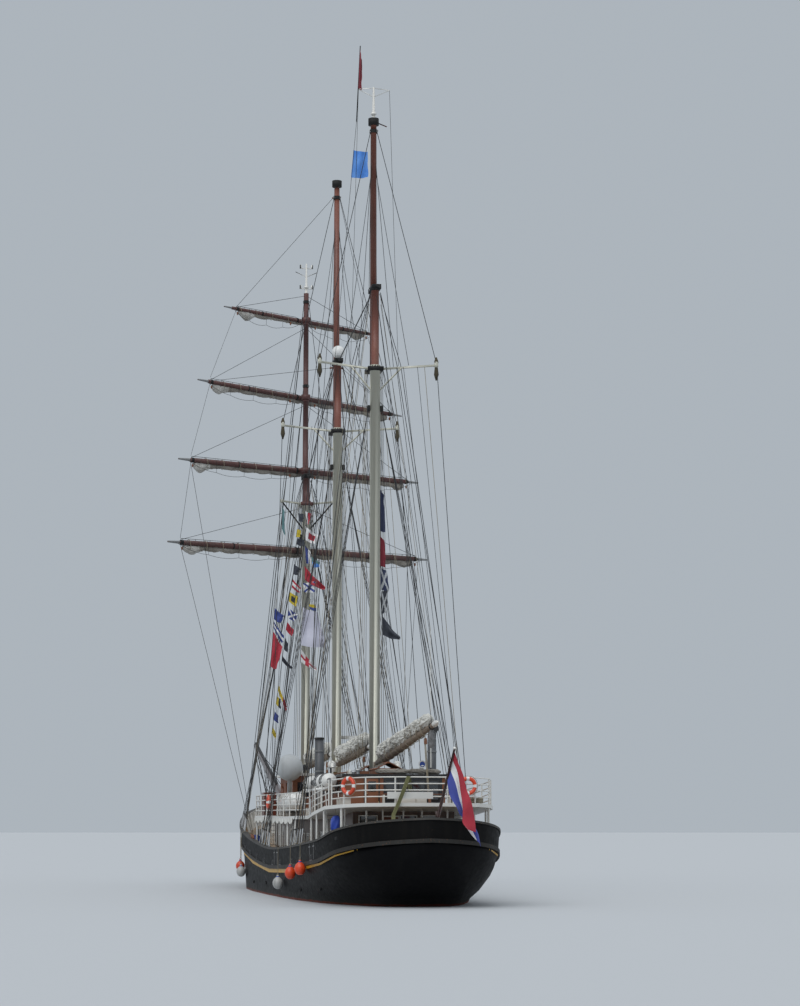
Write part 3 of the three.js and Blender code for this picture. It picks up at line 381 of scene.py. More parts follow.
@dataclass(frozen=True)
class Canvas(Finish):
    """Sailcloth or flag cloth, woven, creased and a little soiled."""

    soil: Colour = (0.3, 0.27, 0.22)
    soiled: float = 0.5
    crease: float = 0.012

    def paint(self, shader: Shader) -> None:
        """Adds this finish's nodes.

        Args:
            shader: The material in the making.
        """
        cloud = shader.ramp(shader.noise(3.0, 6.0), 0.42, 0.72, (0.0, self.soiled))
        base = shader.mix(cloud, self.colour, self.soil)
        fine = shader.ramp(shader.noise(60.0, 2.0), 0.3, 0.7, (0.0, 0.18))
        shader.set(Base_Color=shader.mix(fine, base, self.shaded(0.6)), Roughness=self.roughness)
        shader.set(Sheen_Weight=0.25, Sheen_Roughness=0.5)
        shader.bump(shader.noise(9.0, 5.0, (1.0, 1.0, 0.5)), self.crease)
        weave = shader.node("ShaderNodeTexWave", {"Vector": shader.place, "Scale": 300.0}).outputs[1]
        shader.bump(weave, 0.0006, 0.5)


@dataclass(frozen=True)
class Rope(Finish):
    """Laid rope or wire, with its strands as relief."""

    strands: float = 55.0

    def paint(self, shader: Shader) -> None:
        """Adds this finish's nodes.

        Args:
            shader: The material in the making.
        """
        cloud = shader.ramp(shader.noise(2.0, 4.0), 0.35, 0.65)
        shader.set(Base_Color=shader.mix(cloud, self.shaded(0.6), self.colour), Roughness=self.roughness)
        inputs = {"Vector": shader.place, "Scale": self.strands, "Distortion": 1.0}
        twist = shader.node("ShaderNodeTexWave", inputs, bands_direction="DIAGONAL").outputs[1]
        shader.bump(twist, 0.001)


@dataclass(frozen=True)
class Metal(Finish):
    """Bare or plated metal, dulled in patches."""

    metallic: float = 1.0
    dull: Colour = (0.1, 0.08, 0.06)
    dulled: float = 0.4

    def paint(self, shader: Shader) -> None:
        """Adds this finish's nodes.

        Args:
            shader: The material in the making.
        """
        patches = shader.ramp(shader.noise(7.0, 8.0), 0.45, 0.7, (0.0, self.dulled))
        rough = shader.ramp(shader.noise(15.0, 4.0), 0.3, 0.7, (self.roughness - 0.1, self.roughness + 0.2))
        shader.set(Base_Color=shader.mix(patches, self.colour, self.dull), Roughness=rough, Metallic=self.metallic)
        shader.bump(shader.noise(50.0, 4.0), 0.0015)


@dataclass(frozen=True)
class Glass(Finish):
    """Window glass with a dark room behind it."""

    def paint(self, shader: Shader) -> None:
        """Adds this finish's nodes.

        Args:
            shader: The material in the making.
        """
        dusty = shader.ramp(shader.noise(2.5, 5.0), 0.4, 0.75, (0.0, 0.3))
        shader.set(Base_Color=shader.mix(dusty, self.colour, (0.12, 0.13, 0.14)))
        shader.set(Roughness=self.roughness, Coat_Weight=1.0, Coat_Roughness=0.03)
        shader.bump(shader.noise(1.2, 1.0), 0.004)


# Shapes


class Form:
    """One piece of the ship in the making. Shapes go into one mesh, which then becomes an object."""

    def __init__(self, name: str, body: str, finishes: Sequence[Finish], slot: str | None = None) -> None:
        """Starts a piece.

        Args:
            name: The piece's name.
            body: The body that it rides on.
            finishes: Its finishes, in the order of the shapes' finish numbers.
            slot: The name of one of the record's material slots. It is not used.
        """
        self.name = name
        self.body = body
        self.finishes = finishes
        self.slot = slot
        self.mesh = bmesh.new()

    def paint(self, verts: Iterable[bmesh.types.BMVert], finish: int) -> None:
        """Gives the faces of some vertices a finish.

        Args:
            verts: The vertices.
            finish: The finish's number.
        """
        if finish:
            for vert in verts:
                for face in vert.link_faces:
                    face.material_index = finish

    def rod(self, start: Point, end: Point, radius: float, tip: float | None = None, sides: int = 6,
            finish: int = 0) -> list[bmesh.types.BMVert]:
        """Adds a straight round bar.

        Args:
            start: The middle of its first end.
            end: The middle of its other end.
            radius: Its radius at the start.
            tip: Its radius at the end, the same if left out.
            sides: The number of its sides.
            finish: The finish's number.

        Returns:
            Its vertices.
        """
        a, b = Vector(start), Vector(end)
        along = b - a
        place = Matrix.Translation((a + b) / 2) @ upright(along.normalized()).to_4x4()
        far = radius if tip is None else tip
        verts = bmesh.ops.create_cone(self.mesh, cap_ends=True, segments=sides, radius1=radius, radius2=far,
                                      depth=along.length, matrix=place)["verts"]
        self.paint(verts, finish)
        return verts

    def line(self, points: Sequence[Point], radius: float, sides: int = 5, finish: int = 0) -> None:
        """Adds a round line through points, closed at its ends.

        Args:
            points: The points that it passes.
            radius: Its radius.
            sides: The number of its sides.
            finish: The finish's number.
        """
        path = [Vector(p) for p in points]
        if len(path) == 2:
            self.rod(path[0], path[1], radius, sides=sides, finish=finish)
            return
        heading = (path[1] - path[0]).normalized()
        place = Matrix.Translation(path[0]) @ upright(heading).to_4x4()
        first = bmesh.ops.create_circle(self.mesh, cap_ends=True, segments=sides, radius=radius,
                                        matrix=place)["verts"]
        made = list(first)
        face = first[0].link_faces[0]
        for i in range(1, len(path)):
            out = bmesh.ops.extrude_face_region(self.mesh, geom=[face])["geom"]
            verts = [g for g in out if isinstance(g, bmesh.types.BMVert)]
            if i > 1:
                bmesh.ops.delete(self.mesh, geom=[face], context="FACES_ONLY")
            face = next(g for g in out if isinstance(g, bmesh.types.BMFace))
            ahead = (path[min(i + 1, len(path) - 1)] - path[i - 1]).normalized()
            swing = heading.rotation_difference(ahead).to_matrix()
            bmesh.ops.rotate(self.mesh, verts=verts, cent=path[i - 1], matrix=swing)
            bmesh.ops.translate(self.mesh, verts=verts, vec=path[i] - path[i - 1])
            heading = ahead
            made += verts
        self.paint(made, finish)

    def block(self, centre: Point, size: Point, turn: Matrix | None = None, bevel: float = 0.0,
              finish: int = 0) -> list[bmesh.types.BMVert]:
        """Adds a box, with rounded edges where it has a bevel.

        Args:
            centre: Its middle.
            size: Its sides.
            turn: Its rotation.
            bevel: The width of its rounding.
            finish: The finish's number.

        Returns:
            Its vertices.
        """
        place = Matrix.Translation(Vector(centre)) @ (turn.to_4x4() if turn else Matrix.Identity(4))
        place = place @ Matrix.Diagonal((*size, 1.0))
        verts = bmesh.ops.create_cube(self.mesh, size=1.0, matrix=place)["verts"]
        if bevel:
            edges = list({e for v in verts for e in v.link_edges})
            made = bmesh.ops.bevel(self.mesh, geom=edges, offset=bevel, offset_type="OFFSET", segments=2,
                                   profile=0.5, affect="EDGES", material=-1, clamp_overlap=True)
            verts = list({v for f in made["faces"] for v in f.verts})
        self.paint(verts, finish)
        return verts

    def ball(self, centre: Point, radii: Point, finish: int = 0, detail: int = 12) -> list[bmesh.types.BMVert]:
        """Adds a ball or an egg.

        Args:
            centre: Its middle.
            radii: Its radius along each axis.
            finish: The finish's number.
            detail: The number of its slices.

        Returns:
            Its vertices.
        """
        place = Matrix.Translation(Vector(centre)) @ Matrix.Diagonal((*radii, 1.0))
        verts = bmesh.ops.create_uvsphere(self.mesh, u_segments=detail, v_segments=max(4, detail * 2 // 3),
                                          radius=1.0, matrix=place)["verts"]
        self.paint(verts, finish)
        return verts

    def turned(self, profile: Sequence[tuple[float, float]], base: Point, axis: Point = (0, 0, 1), sides: int = 16,
               finish: int = 0) -> list[bmesh.types.BMVert]:
        """Adds a shape turned round an axis, closed where its profile meets the axis.

        Args:
            profile: Distances along the axis and radii.
            base: The point where the axis starts.
            axis: The axis's direction.
            sides: The number of steps round it.
            finish: The finish's number.

        Returns:
            Its vertices.
        """
        others = set(self.mesh.verts)
        verts = [self.mesh.verts.new((r, 0.0, h)) for h, r in profile]
        edges = [self.mesh.edges.new(pair) for pair in zip(verts, verts[1:])]
        bmesh.ops.spin(self.mesh, geom=verts + edges, cent=(0, 0, 0), axis=(0, 0, 1), angle=math.tau,
                       steps=sides, use_merge=True)
        spun = [v for v in self.mesh.verts if v not in others]
        bmesh.ops.remove_doubles(self.mesh, verts=spun, dist=1e-5)
        kept = [v for v in spun if v.is_valid]
        turn = upright(Vector(axis).normalized()).to_4x4()
        bmesh.ops.transform(self.mesh, matrix=Matrix.Translation(Vector(base)) @ turn, verts=kept)
        self.paint(kept, finish)
        return kept

    def ring(self, centre: Point, axis: Point, radius: float, thick: float, sides: int = 24, finish: int = 0) -> None:
        """Adds a round ring round an axis, with the radius of its middle line and of its section."""
        turns = [k * math.tau / 10 for k in range(11)]
        self.turned([(thick * math.sin(a), radius + thick * math.cos(a)) for a in turns], centre, axis, sides, finish)

    def band(self, centre: Point, axis: Point, half: float, radius: float, sides: int = 16, finish: int = 0) -> None:
        """Adds a short round band about its middle, with half its width along the axis."""
        self.turned(((-half, 0.0), (-half, radius), (half, radius), (half, 0.0)), centre, axis, sides, finish)

    def sheet(self, corner: Callable[[float, float], Point], columns: int, rows: int,
              finish: Callable[[float, float], int] | int = 0) -> list[bmesh.types.BMVert]:
        """Adds an open sheet, a grid that is bent to a surface.

        Args:
            corner: The surface's point for two shares from 0 to 1.
            columns: The grid's columns.
            rows: The grid's rows.
            finish: The finish's number, or one for each pair of shares.

        Returns:
            Its vertices.
        """
        verts = bmesh.ops.create_grid(self.mesh, x_segments=columns, y_segments=rows, size=0.5)["verts"]
        faces = {f for v in verts for f in v.link_faces}
        for face in faces:
            middle = face.calc_center_median()
            share = (middle.x + 0.5, middle.y + 0.5)
            face.material_index = finish(*share) if callable(finish) else finish
        for vert in verts:
            vert.co = Vector(corner(vert.co.x + 0.5, vert.co.y + 0.5))
        return verts

    def close(self, reach: float = 1e-4, fill: bool = True) -> list[bmesh.types.BMFace]:
        """Joins the seam of a sheet that is bent round.

        Args:
            reach: How far apart points that become one may be.
            fill: Whether open ends are filled.

        Returns:
            The faces that fill them.
        """
        bmesh.ops.remove_doubles(self.mesh, verts=self.mesh.verts, dist=reach)
        return bmesh.ops.holes_fill(self.mesh, edges=self.mesh.edges, sides=0)["faces"] if fill else []

    def blend(self, body: str) -> None:
        """Makes the object of a line that runs from the ship to another body, takes it off its body and bakes its place
        into its mesh.

        Args:
            body: The other body. It is not used.
        """
        piece = self.place()
        piece.parent = None
        del piece["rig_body"]
        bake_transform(piece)

    def place(self, sharp: float = 40.0, outward: bool = True) -> bpy.types.Object:
        """Makes the object, at the origin and at the model's scale, riding on its body.

        Args:
            sharp: Edges past this angle, in degrees, stay sharp.
            outward: Whether the faces are turned outwards, which an open sheet leaves out.

        Returns:
            The object.
        """
        if outward:
            bmesh.ops.recalc_face_normals(self.mesh, faces=self.mesh.faces)
        bmesh.ops.scale(self.mesh, vec=(SCALE, SCALE, SCALE), verts=self.mesh.verts)
        data = mesh_data(self.mesh, self.name)
        for finish in self.finishes:
            data.materials.append(finish.material())
        data.shade_smooth()
        data.set_sharp_from_angle(angle=math.radians(sharp))
        piece = add_object(self.name, data)
        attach(piece, self.body)
        log.info("%s: %d faces on %s", self.name, len(data.polygons), self.body)
        return piece


# The ship's finishes


def flag_cloth(name: str, colour: Colour, soil: Colour, soiled: float = 0.4) -> Canvas:
    """Light cloth for flags, with its colour, and with how and how much it is soiled."""
    return Canvas(name, colour, 0.75, soil=soil, soiled=soiled, crease=0.006)


HULL_BLACK = HullPaint("hull_black", (0.0035, 0.0035, 0.0042), 0.5, dirt=(0.008, 0.008, 0.0075), grime=0.3,
                       worn=(0.02, 0.015, 0.012), wear=0.08, gloss=0.0, shine=0.07)
BULWARK_BLACK = Paint("bulwark_black", (0.0055, 0.0053, 0.0053), 0.55, dirt=(0.016, 0.014, 0.012), grime=0.4,
                      worn=(0.04, 0.024, 0.016), wear=0.1, gloss=0.0, shine=0.08)
RUB_GREY = Paint("rub_rail_grey", (0.035, 0.034, 0.032), 0.55, dirt=(0.02, 0.016, 0.012), grime=0.6,
                 worn=(0.12, 0.065, 0.04), wear=0.5, gloss=0.0, shine=0.15)
CAP_GREY = Paint("rail_cap_grey", (0.06, 0.057, 0.053), 0.55, dirt=(0.03, 0.024, 0.018), grime=0.6,
                 worn=(0.2, 0.14, 0.1), wear=0.4, gloss=0.0, shine=0.2)
DARK_BOARDS = Paint("dark_boards", (0.02, 0.022, 0.027), 0.4, dirt=(0.05, 0.045, 0.04), grime=0.4, shine=0.3)
BLACK = Paint("black_paint", (0.012, 0.012, 0.013), 0.35, dirt=(0.06, 0.055, 0.05), worn=(0.11, 0.06, 0.035))
IRON = Metal("black_iron", (0.035, 0.035, 0.037), 0.5, metallic=0.6, dull=(0.12, 0.055, 0.03), dulled=0.5)
GALVANISED = Metal("galvanised", (0.42, 0.43, 0.44), 0.45, metallic=0.8, dull=(0.2, 0.19, 0.17))
BRONZE = Metal("bronze", (0.6, 0.36, 0.13), 0.3, dull=(0.12, 0.2, 0.14), dulled=0.6)
WHITE = Paint("white_paint", (0.74, 0.73, 0.68), 0.4, dirt=(0.28, 0.2, 0.12), grime=0.32, worn=(0.35, 0.22, 0.13))
CREAM = Paint("cream_paint", (0.66, 0.655, 0.55), 0.6, dirt=(0.33, 0.32, 0.24), grime=0.5, worn=(0.36, 0.32, 0.25),
              wear=0.3, shine=0.25)
BROWN = Paint("spar_brown", (0.185, 0.058, 0.038), 0.5, dirt=(0.11, 0.07, 0.05), grime=0.6, worn=(0.22, 0.11, 0.08),
              wear=0.45, gloss=0.15)
YARD_BROWN = Paint("yard_brown", (0.092, 0.034, 0.030), 0.55, dirt=(0.06, 0.045, 0.038), grime=0.6,
                   worn=(0.15, 0.08, 0.065), wear=0.4, gloss=0.1)
BOOM_GREY = Paint("boom_grey_brown", (0.20, 0.15, 0.11), 0.6, dirt=(0.1, 0.08, 0.06), grime=0.5,
                  worn=(0.3, 0.26, 0.2), wear=0.5, gloss=0.1)
GREY = Paint("deck_grey", (0.20, 0.205, 0.21), 0.5, dirt=(0.1, 0.09, 0.07), worn=(0.3, 0.26, 0.22), wear=0.25)
GOLD = Paint("gold_stripe", (0.62, 0.33, 0.012), 0.5, dirt=(0.16, 0.1, 0.02), grime=0.25, worn=(0.2, 0.12, 0.02),
             shine=0.15)
BLUE = Paint("blue_paint", (0.02, 0.07, 0.36), 0.45, dirt=(0.03, 0.04, 0.1), grime=0.3, worn=(0.12, 0.14, 0.22))
PLASTIC = Paint("white_plastic", (0.78, 0.78, 0.75), 0.3, dirt=(0.4, 0.38, 0.32), grime=0.22, worn=(0.6, 0.58, 0.52),
                wear=0.05, gloss=0.6)
ORANGE = Paint("orange_plastic", (0.68, 0.06, 0.014), 0.42, dirt=(0.25, 0.06, 0.02), grime=0.25,
               worn=(0.7, 0.2, 0.1), wear=0.1)
FENDER_GREY = Paint("grey_plastic", (0.42, 0.42, 0.41), 0.5, dirt=(0.14, 0.13, 0.11), grime=0.6,
                    worn=(0.25, 0.24, 0.22), wear=0.3)
TEAK = Planks("laid_deck", (0.33, 0.235, 0.145), 0.65)
VARNISH = Wood("varnished_wood", (0.21, 0.058, 0.022), 0.3)
LOCKER_WOOD = Wood("locker_wood", (0.15, 0.032, 0.016), 0.4, dark=(0.06, 0.014, 0.008), coat=0.3, board=0.2)
# Boards of the main deckhouse: a dark brown that is partly the wood's own colour and partly painted shade, darkened for
# the shade under the upper deck.
HOUSE_BROWN_AND_SHADE = Wood("deckhouse_boards_and_shade", (0.10, 0.055, 0.035), 0.5, dark=(0.04, 0.02, 0.014), coat=0.15)
STAFF_WOOD = Wood("dark_staff_wood", (0.055, 0.018, 0.012), 0.35, dark=(0.02, 0.008, 0.006))
BLOCKS = Rope("tarred_blocks", (0.075, 0.06, 0.032), 0.8)
WINDOW_GLASS = Glass("window_glass", (0.012, 0.016, 0.02), 0.06)
CANVAS = Canvas("sail_canvas", (0.66, 0.65, 0.60), 0.85, soil=(0.30, 0.28, 0.24), soiled=0.65)
OLD_CANVAS = Canvas("yard_sail_canvas", (0.27, 0.25, 0.22), 0.9, soil=(0.11, 0.095, 0.075), soiled=0.8, crease=0.02)
LOOSE_CANVAS = Canvas("loose_yard_canvas", (0.46, 0.45, 0.42), 0.85, soil=(0.22, 0.2, 0.17), soiled=0.7, crease=0.02)
COVER = Canvas("boat_cover", (0.70, 0.69, 0.64), 0.8, soil=(0.36, 0.34, 0.29), soiled=0.5)
GREY_COVER = Canvas("grey_cover", (0.17, 0.17, 0.175), 0.8, soil=(0.08, 0.08, 0.08), soiled=0.5)
WIRE = Rope("wire_rope", (0.028, 0.029, 0.031), 0.7)
TARRED = Rope("tarred_line", (0.028, 0.025, 0.022), 0.75)
HEMP = Rope("buff_line", (0.30, 0.26, 0.19), 0.85)
FLAG_WHITE = flag_cloth("flag_white", (0.74, 0.74, 0.74), (0.5, 0.5, 0.5), 0.2)
FLAG_RED = flag_cloth("flag_red", (0.42, 0.022, 0.042), (0.24, 0.015, 0.025))
FLAG_BLUE = flag_cloth("flag_blue", (0.03, 0.055, 0.25), (0.02, 0.03, 0.14))
FLAG_NAVY = flag_cloth("flag_navy", (0.022, 0.032, 0.085), (0.04, 0.05, 0.09))
FLAG_SKY = flag_cloth("flag_sky_blue", (0.07, 0.25, 0.72), (0.2, 0.42, 0.8), 0.6)
FLAG_YELLOW = flag_cloth("flag_yellow", (0.60, 0.46, 0.03), (0.4, 0.3, 0.03))
FLAG_DARK = flag_cloth("flag_dark", (0.025, 0.03, 0.045), (0.08, 0.09, 0.1), 0.5)
FLAG_GREY = flag_cloth("flag_grey", (0.48, 0.50, 0.52), (0.35, 0.36, 0.38))
FLAG_LILAC = flag_cloth("flag_pale_lilac", (0.60, 0.60, 0.70), (0.45, 0.45, 0.55))
FLAG_TEAL = flag_cloth("flag_teal", (0.10, 0.21, 0.22), (0.06, 0.12, 0.14))
FLAG_BURGUNDY = flag_cloth("flag_burgundy", (0.22, 0.016, 0.03), (0.12, 0.01, 0.02))
SIGNAL_GREEN = Paint("signal_green", (0.01, 0.22, 0.06), 0.3, dirt=(0.02, 0.08, 0.03), grime=0.2, gloss=0.5)
HAWSER = Rope("green_yellow_hawser", (0.17, 0.17, 0.075), 0.9, strands=30.0)
STACK_GREY = Paint("stack_grey", (0.085, 0.09, 0.1), 0.5, dirt=(0.03, 0.03, 0.03), grime=0.6, worn=(0.12, 0.07, 0.05))
DOME_GREY = Paint("dome_grey_white", (0.46, 0.48, 0.49), 0.45, dirt=(0.28, 0.27, 0.25), grime=0.4, worn=(0.4, 0.4, 0.4))
ENSIGN_BLUE = flag_cloth("ensign_blue", (0.05, 0.07, 0.33), (0.04, 0.05, 0.2), 0.3)
SHOP_BLUE = Canvas("blue_sheet", (0.015, 0.06, 0.45), 0.5, soil=(0.01, 0.03, 0.2), soiled=0.4)


# The studio


@dataclass
class Studio:
    """The floor at the waterline, the soft light and the photograph's camera."""

    eye: Point = (-66.2, 9.75, 1.75)
    heading: float = -9.8
    lift: float = 7.65
    focal: float = 86.6
    sensor: float = 36.0
    far: float = 3000.0
    floor: float = 900.0
    ground: Colour = (0.50, 0.52, 0.54)
    sky: Colour = (0.52, 0.575, 0.63)
    sky_strength: float = 0.8
    lamps: tuple = (("key", 1.15, 50.0, 42.0, -35.0), ("top", 0.8, 90.0, 8.0, 0.0))

    def build(self) -> None:
        """Makes the floor, the light and the camera."""
        self.make_floor()
        self.make_light()
        self.make_camera()
        log.info("studio ready")

    def make_floor(self) -> None:
        """Lays a plain pale floor at the waterline."""
        mesh = bmesh.new()
        bmesh.ops.create_circle(mesh, cap_ends=True, segments=64, radius=self.floor)
        data = mesh_data(mesh, "floor")
        shader = Shader("floor_paint")
        shader.set(Base_Color=self.ground, Roughness=0.8)
        data.materials.append(shader.material)
        add_object("floor", data)

    def make_light(self) -> None:
        """Lights the ship as an overcast day does, with a soft sun high on the port quarter."""
        world = bpy.data.worlds.new("overcast")
        world.use_nodes = True
        sky = world.node_tree.nodes["Background"]
        sky.inputs[0].default_value = (*self.sky, 1.0)
        sky.inputs[1].default_value = self.sky_strength
        bpy.context.scene.world = world
        for name, power, angle, pitch, turn in self.lamps:
            data = bpy.data.lights.new(name, "SUN")
            data.energy = power
            data.angle = math.radians(angle)
            add_object(name, data).rotation_euler = (math.radians(pitch), 0.0, math.radians(turn - 90.0))

    def make_camera(self) -> None:
        """Sets the camera near water level astern of the ship, looking a little up."""
        data = bpy.data.cameras.new("camera")
        data.sensor_width = self.sensor
        data.lens = self.focal
        data.clip_end = self.far
        camera = add_object("camera", data)
        camera.location = self.eye
        camera.rotation_euler = (math.radians(90.0 + self.lift), 0.0, math.radians(self.heading - 90.0))
        bpy.context.scene.camera = camera
        bpy.context.scene.view_settings.view_transform = "Standard"


# The CAD nodes


Rule = Callable[[Vector, Vector], int]


def every(centre: Vector, normal: Vector) -> int:
    """Gives every face the first finish."""
    return 0


def above(*heights: float) -> Rule:
    """A rule that counts the heights, in real metres, that a face lies over."""
    return lambda centre, normal: sum(centre.z > h for h in heights)


def deck_and_sides(floor: float) -> Rule:
    """A rule that gives faces that look up, over a height in real metres, the second finish."""
    return lambda centre, normal: int(normal.z > 0.85 and centre.z > floor)


def upper_deck_faces(centre: Vector, normal: Vector) -> int:
    """White edges and posts, laid planks on top and the wood of the two lockers."""
    if centre.z > 4.25 and 8.1 < centre.x < 9.4:
        return 2
    return deck_and_sides(3.9)(centre, normal)


def topmast_faces(head: float, truck: float, reach: float) -> Rule:
    """A rule for a brown topmast, the iron truck on it, the white pole over it and dark ends past a reach."""
    def rule(centre: Vector, normal: Vector) -> int:
        if centre.z < head:
            return 0
        return 1 if centre.z < truck + 0.01 or abs(centre.y) > reach else 2
    return rule


def mast_faces(trees: float, cap: float, half: float) -> Rule:
    """A rule for a cream mast, its brown head, its iron crosstrees and cap and the blocks at its spreaders' tips."""
    def rule(centre: Vector, normal: Vector) -> int:
        if abs(centre.y) > half - 0.15 and not trees - 0.1 < centre.z < trees + 0.14:
            return 3
        if abs(centre.y) < 0.5 and trees - 0.25 < centre.z < trees + 0.05:
            return 2
        return sum(centre.z > h for h in (trees + 0.4, cap - 0.3))
    return rule


def fore_mast_faces(centre: Vector, normal: Vector) -> int:
    """A cream mast and spreaders, the spreaders' iron struts, the brown near the head and its iron cap."""
    if abs(centre.y) > 0.35:
        return 2 if 20.8 < centre.z < 23.15 else 0
    return above(23.0, 24.6)(centre, normal)


@dataclass(frozen=True)
class Coat:
    """The finishes of some CAD nodes, and the rule that says which face has which."""

    nodes: tuple[str, ...]
    finishes: tuple[Finish, ...]
    rule: Rule = every
    sharp: float = 0.0

    def apply(self, frame: dict) -> None:
        """Gives the nodes their materials. Where sharp is over 0, a merged, smooth copy stands for the node.
        """
        for name in self.nodes:
            node = frame["nodes"][name]
            data = self.smooth(name, node) if self.sharp else node.data
            data.materials.clear()
            for finish in self.finishes:
                data.materials.append(finish.material())
            for face in data.polygons:
                face.material_index = self.rule(face.center / SCALE, face.normal)
            log.info("%s: finished in %s", name, ", ".join(f.name for f in self.finishes))

    def smooth(self, name: str, node: bpy.types.Object) -> bpy.types.Mesh:
        """Makes a merged copy of a node, shaded smooth except over the sharp angle.

        Args:
            name: The node's name.
            node: The node.

        Returns:
            The copy's mesh.
        """
        mesh = bmesh.new()
        mesh.from_mesh(node.data)
        bmesh.ops.remove_doubles(mesh, verts=mesh.verts, dist=2e-4)
        data = mesh_data(mesh, f"{name}_skin")
        data.shade_smooth()
        data.set_sharp_from_angle(angle=math.radians(self.sharp))
        piece = add_object(f"{name}_skin", data)
        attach(piece, node["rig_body"])
        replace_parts(piece, name)
        return data


YARDS = ("lower_topsail", "upper_topsail", "topgallant", "royal")
COATS = [
    Coat(("hull",), (HULL_BLACK, TEAK), deck_and_sides(1.0), 38.0),
    Coat(("upper_deck",), (WHITE, TEAK, LOCKER_WOOD), upper_deck_faces),
    Coat(("rail_aft", *both("rail")), (WHITE,)),
    # The main deckhouse's walls get the dark brown that carries painted shade.
    Coat(("main_deckhouse",), (HOUSE_BROWN_AND_SHADE,)),
    Coat(("aft_trunk",), (VARNISH, BLACK), above(5.9)),
    Coat(("fore_deckhouse",), (VARNISH, WHITE), deck_and_sides(5.2)),
    Coat(("wheelhouse", *both("wheelhouse_door")), (VARNISH,)),
    Coat(("wheelhouse_roof",), (WHITE,)),
    Coat(("mizzen_lower_mast",), (CREAM, BROWN, IRON, BLOCKS), mast_faces(26.9, 30.9, 3.0), 50.0),
    Coat(("main_lower_mast",), (CREAM, BROWN, IRON, BLOCKS), mast_faces(25.8, 29.6, 3.24), 50.0),
    Coat(("fore_lower_mast",), (CREAM, YARD_BROWN, IRON), fore_mast_faces, 50.0),
    Coat(("mizzen_topmast",), (BROWN, IRON, WHITE), topmast_faces(39.84, 40.2, 0.66), 50.0),
    Coat(("main_topmast",), (BROWN, IRON), above(40.03), 50.0),
    Coat(("fore_topmast",), (YARD_BROWN, IRON, WHITE), topmast_faces(36.5, 36.75, 0.34), 50.0),
    Coat(("radome", "radar_scanner"), (PLASTIC,), every, 50.0),
    Coat(("satellite_dome",), (DOME_GREY,), every, 50.0),
    Coat(("mizzen_boom", "main_boom", "fore_boom"), (BOOM_GREY,), every, 50.0),
    Coat(("bowsprit",), (STAFF_WOOD, WHITE), lambda centre, normal: int(centre.x > 40.4), 50.0),
    Coat(("head_stays", "triatic_stay_aft", "triatic_stay_fore"), (WIRE,)),
    Coat(("propeller",), (BRONZE,), every, 40.0),
    Coat(("rudder",), (HULL_BLACK,), every, 40.0),
    Coat(both("stack"), (STACK_GREY, BLACK), above(7.35), 50.0),
    Coat(both("liferafts"), (PLASTIC,), every, 50.0),
    Coat(both("tender"), (PLASTIC,), every, 50.0),
    Coat(("windlass",), (GREY,)),
    Coat(both("anchor"), (IRON,)),
    Coat(("flagstaff",), (STAFF_WOOD, WHITE), above(6.86), 50.0),
    Coat(("ensign",), (FLAG_RED,)),
    Coat(("mizzen_sail", "main_sail", "fore_sail"), (CANVAS,)),
    Coat(tuple(f"{yard}_sail" for yard in YARDS), (OLD_CANVAS,)),
    Coat(tuple(f"{yard}_yard" for yard in YARDS), (YARD_BROWN,), every, 50.0),
]


# What the pieces are set out from


SHEER = ((-27.45, 3.950, 0.35), (-27.20, 3.911, 1.15), (-26.60, 3.818, 2.25), (-25.60, 3.663, 3.15),
         (-24.00, 3.415, 3.80), (-21.50, 3.028, 4.12), (-18.00, 2.840, 4.25), (-12.00, 2.620, 4.30),
         (-4.00, 2.500, 4.32), (4.00, 2.850, 4.30), (10.00, 3.320, 4.22), (14.00, 3.700, 3.95),
         (18.00, 4.150, 3.40), (21.50, 4.574, 2.55), (24.50, 4.937, 1.35), (26.60, 5.191, 0.45),
         (27.50, 5.300, 0.12))
UPPER_EDGE = ((-25.3, 4.615, 1.20), (-25.0, 4.600, 2.60), (-24.0, 4.565, 3.40), (-22.0, 4.500, 3.93),
              (-18.0, 4.270, 3.90), (-15.0, 4.100, 3.75), (-6.0, 4.100, 3.75), (2.5, 4.200, 3.75),
              (8.0, 4.200, 3.75), (9.6, 4.200, 3.40), (10.4, 4.200, 2.20))
BULWARK_HIGH = 1.05
TRUNK_TOP = 6.05
WHEELHOUSE_TOP = 6.54
FORE_HOUSE_TOP = 4.70
RAFT_Y, RAFT_Z = 3.0, 5.75
TENDER_Y = 2.95


def along_table(table: Sequence[tuple[float, float, float]], x: float) -> tuple[float, float]:
    """The height and the half-breadth that a table gives at x.

    Args:
        table: Rows of x, height and half-breadth, in the order of x.
        x: The place.

    Returns:
        The height and the half-breadth.
    """
    x = min(max(x, table[0][0]), table[-1][0])
    for (x0, z0, y0), (x1, z1, y1) in zip(table, table[1:]):
        if x <= x1:
            share = (x - x0) / (x1 - x0)
            return z0 + share * (z1 - z0), y0 + share * (y1 - y0)
    return table[-1][1], table[-1][2]


def rail(x: float, side: int, inside: float = 0.08) -> Vector:
    """A point on the bulwark's cap."""
    z, y = along_table(SHEER, x)
    return Vector((x, side * (y - inside), z + 0.02))


def deck(x: float) -> float:
    """The height of the main deck."""
    return along_table(SHEER, x)[0] - BULWARK_HIGH


def upper(x: float) -> float:
    """The height of the upper deck."""
    return along_table(UPPER_EDGE, x)[0]


def between(a: Point, b: Point, share: float) -> Vector:
    """The point at a share of the way from a to b."""
    return Vector(a).lerp(Vector(b), share)


def sagging(a: Point, b: Point, sag: float, steps: int = 6) -> list[Vector]:
    """Points of a line from a to b whose middle sags, in some steps."""
    shares = [i / steps for i in range(steps + 1)]
    return [between(a, b, t) - UP * (sag * 4 * t * (1 - t)) for t in shares]


def surface(node: str) -> BVHTree:
    """The surface of a CAD node, to be met by rays.

    Args:
        node: The node's name.

    Returns:
        The surface, in the model's metres.
    """
    mesh = bmesh.new()
    mesh.from_mesh(FRAME["nodes"][node].data)
    tree = BVHTree.FromBMesh(mesh)
    mesh.free()
    return tree


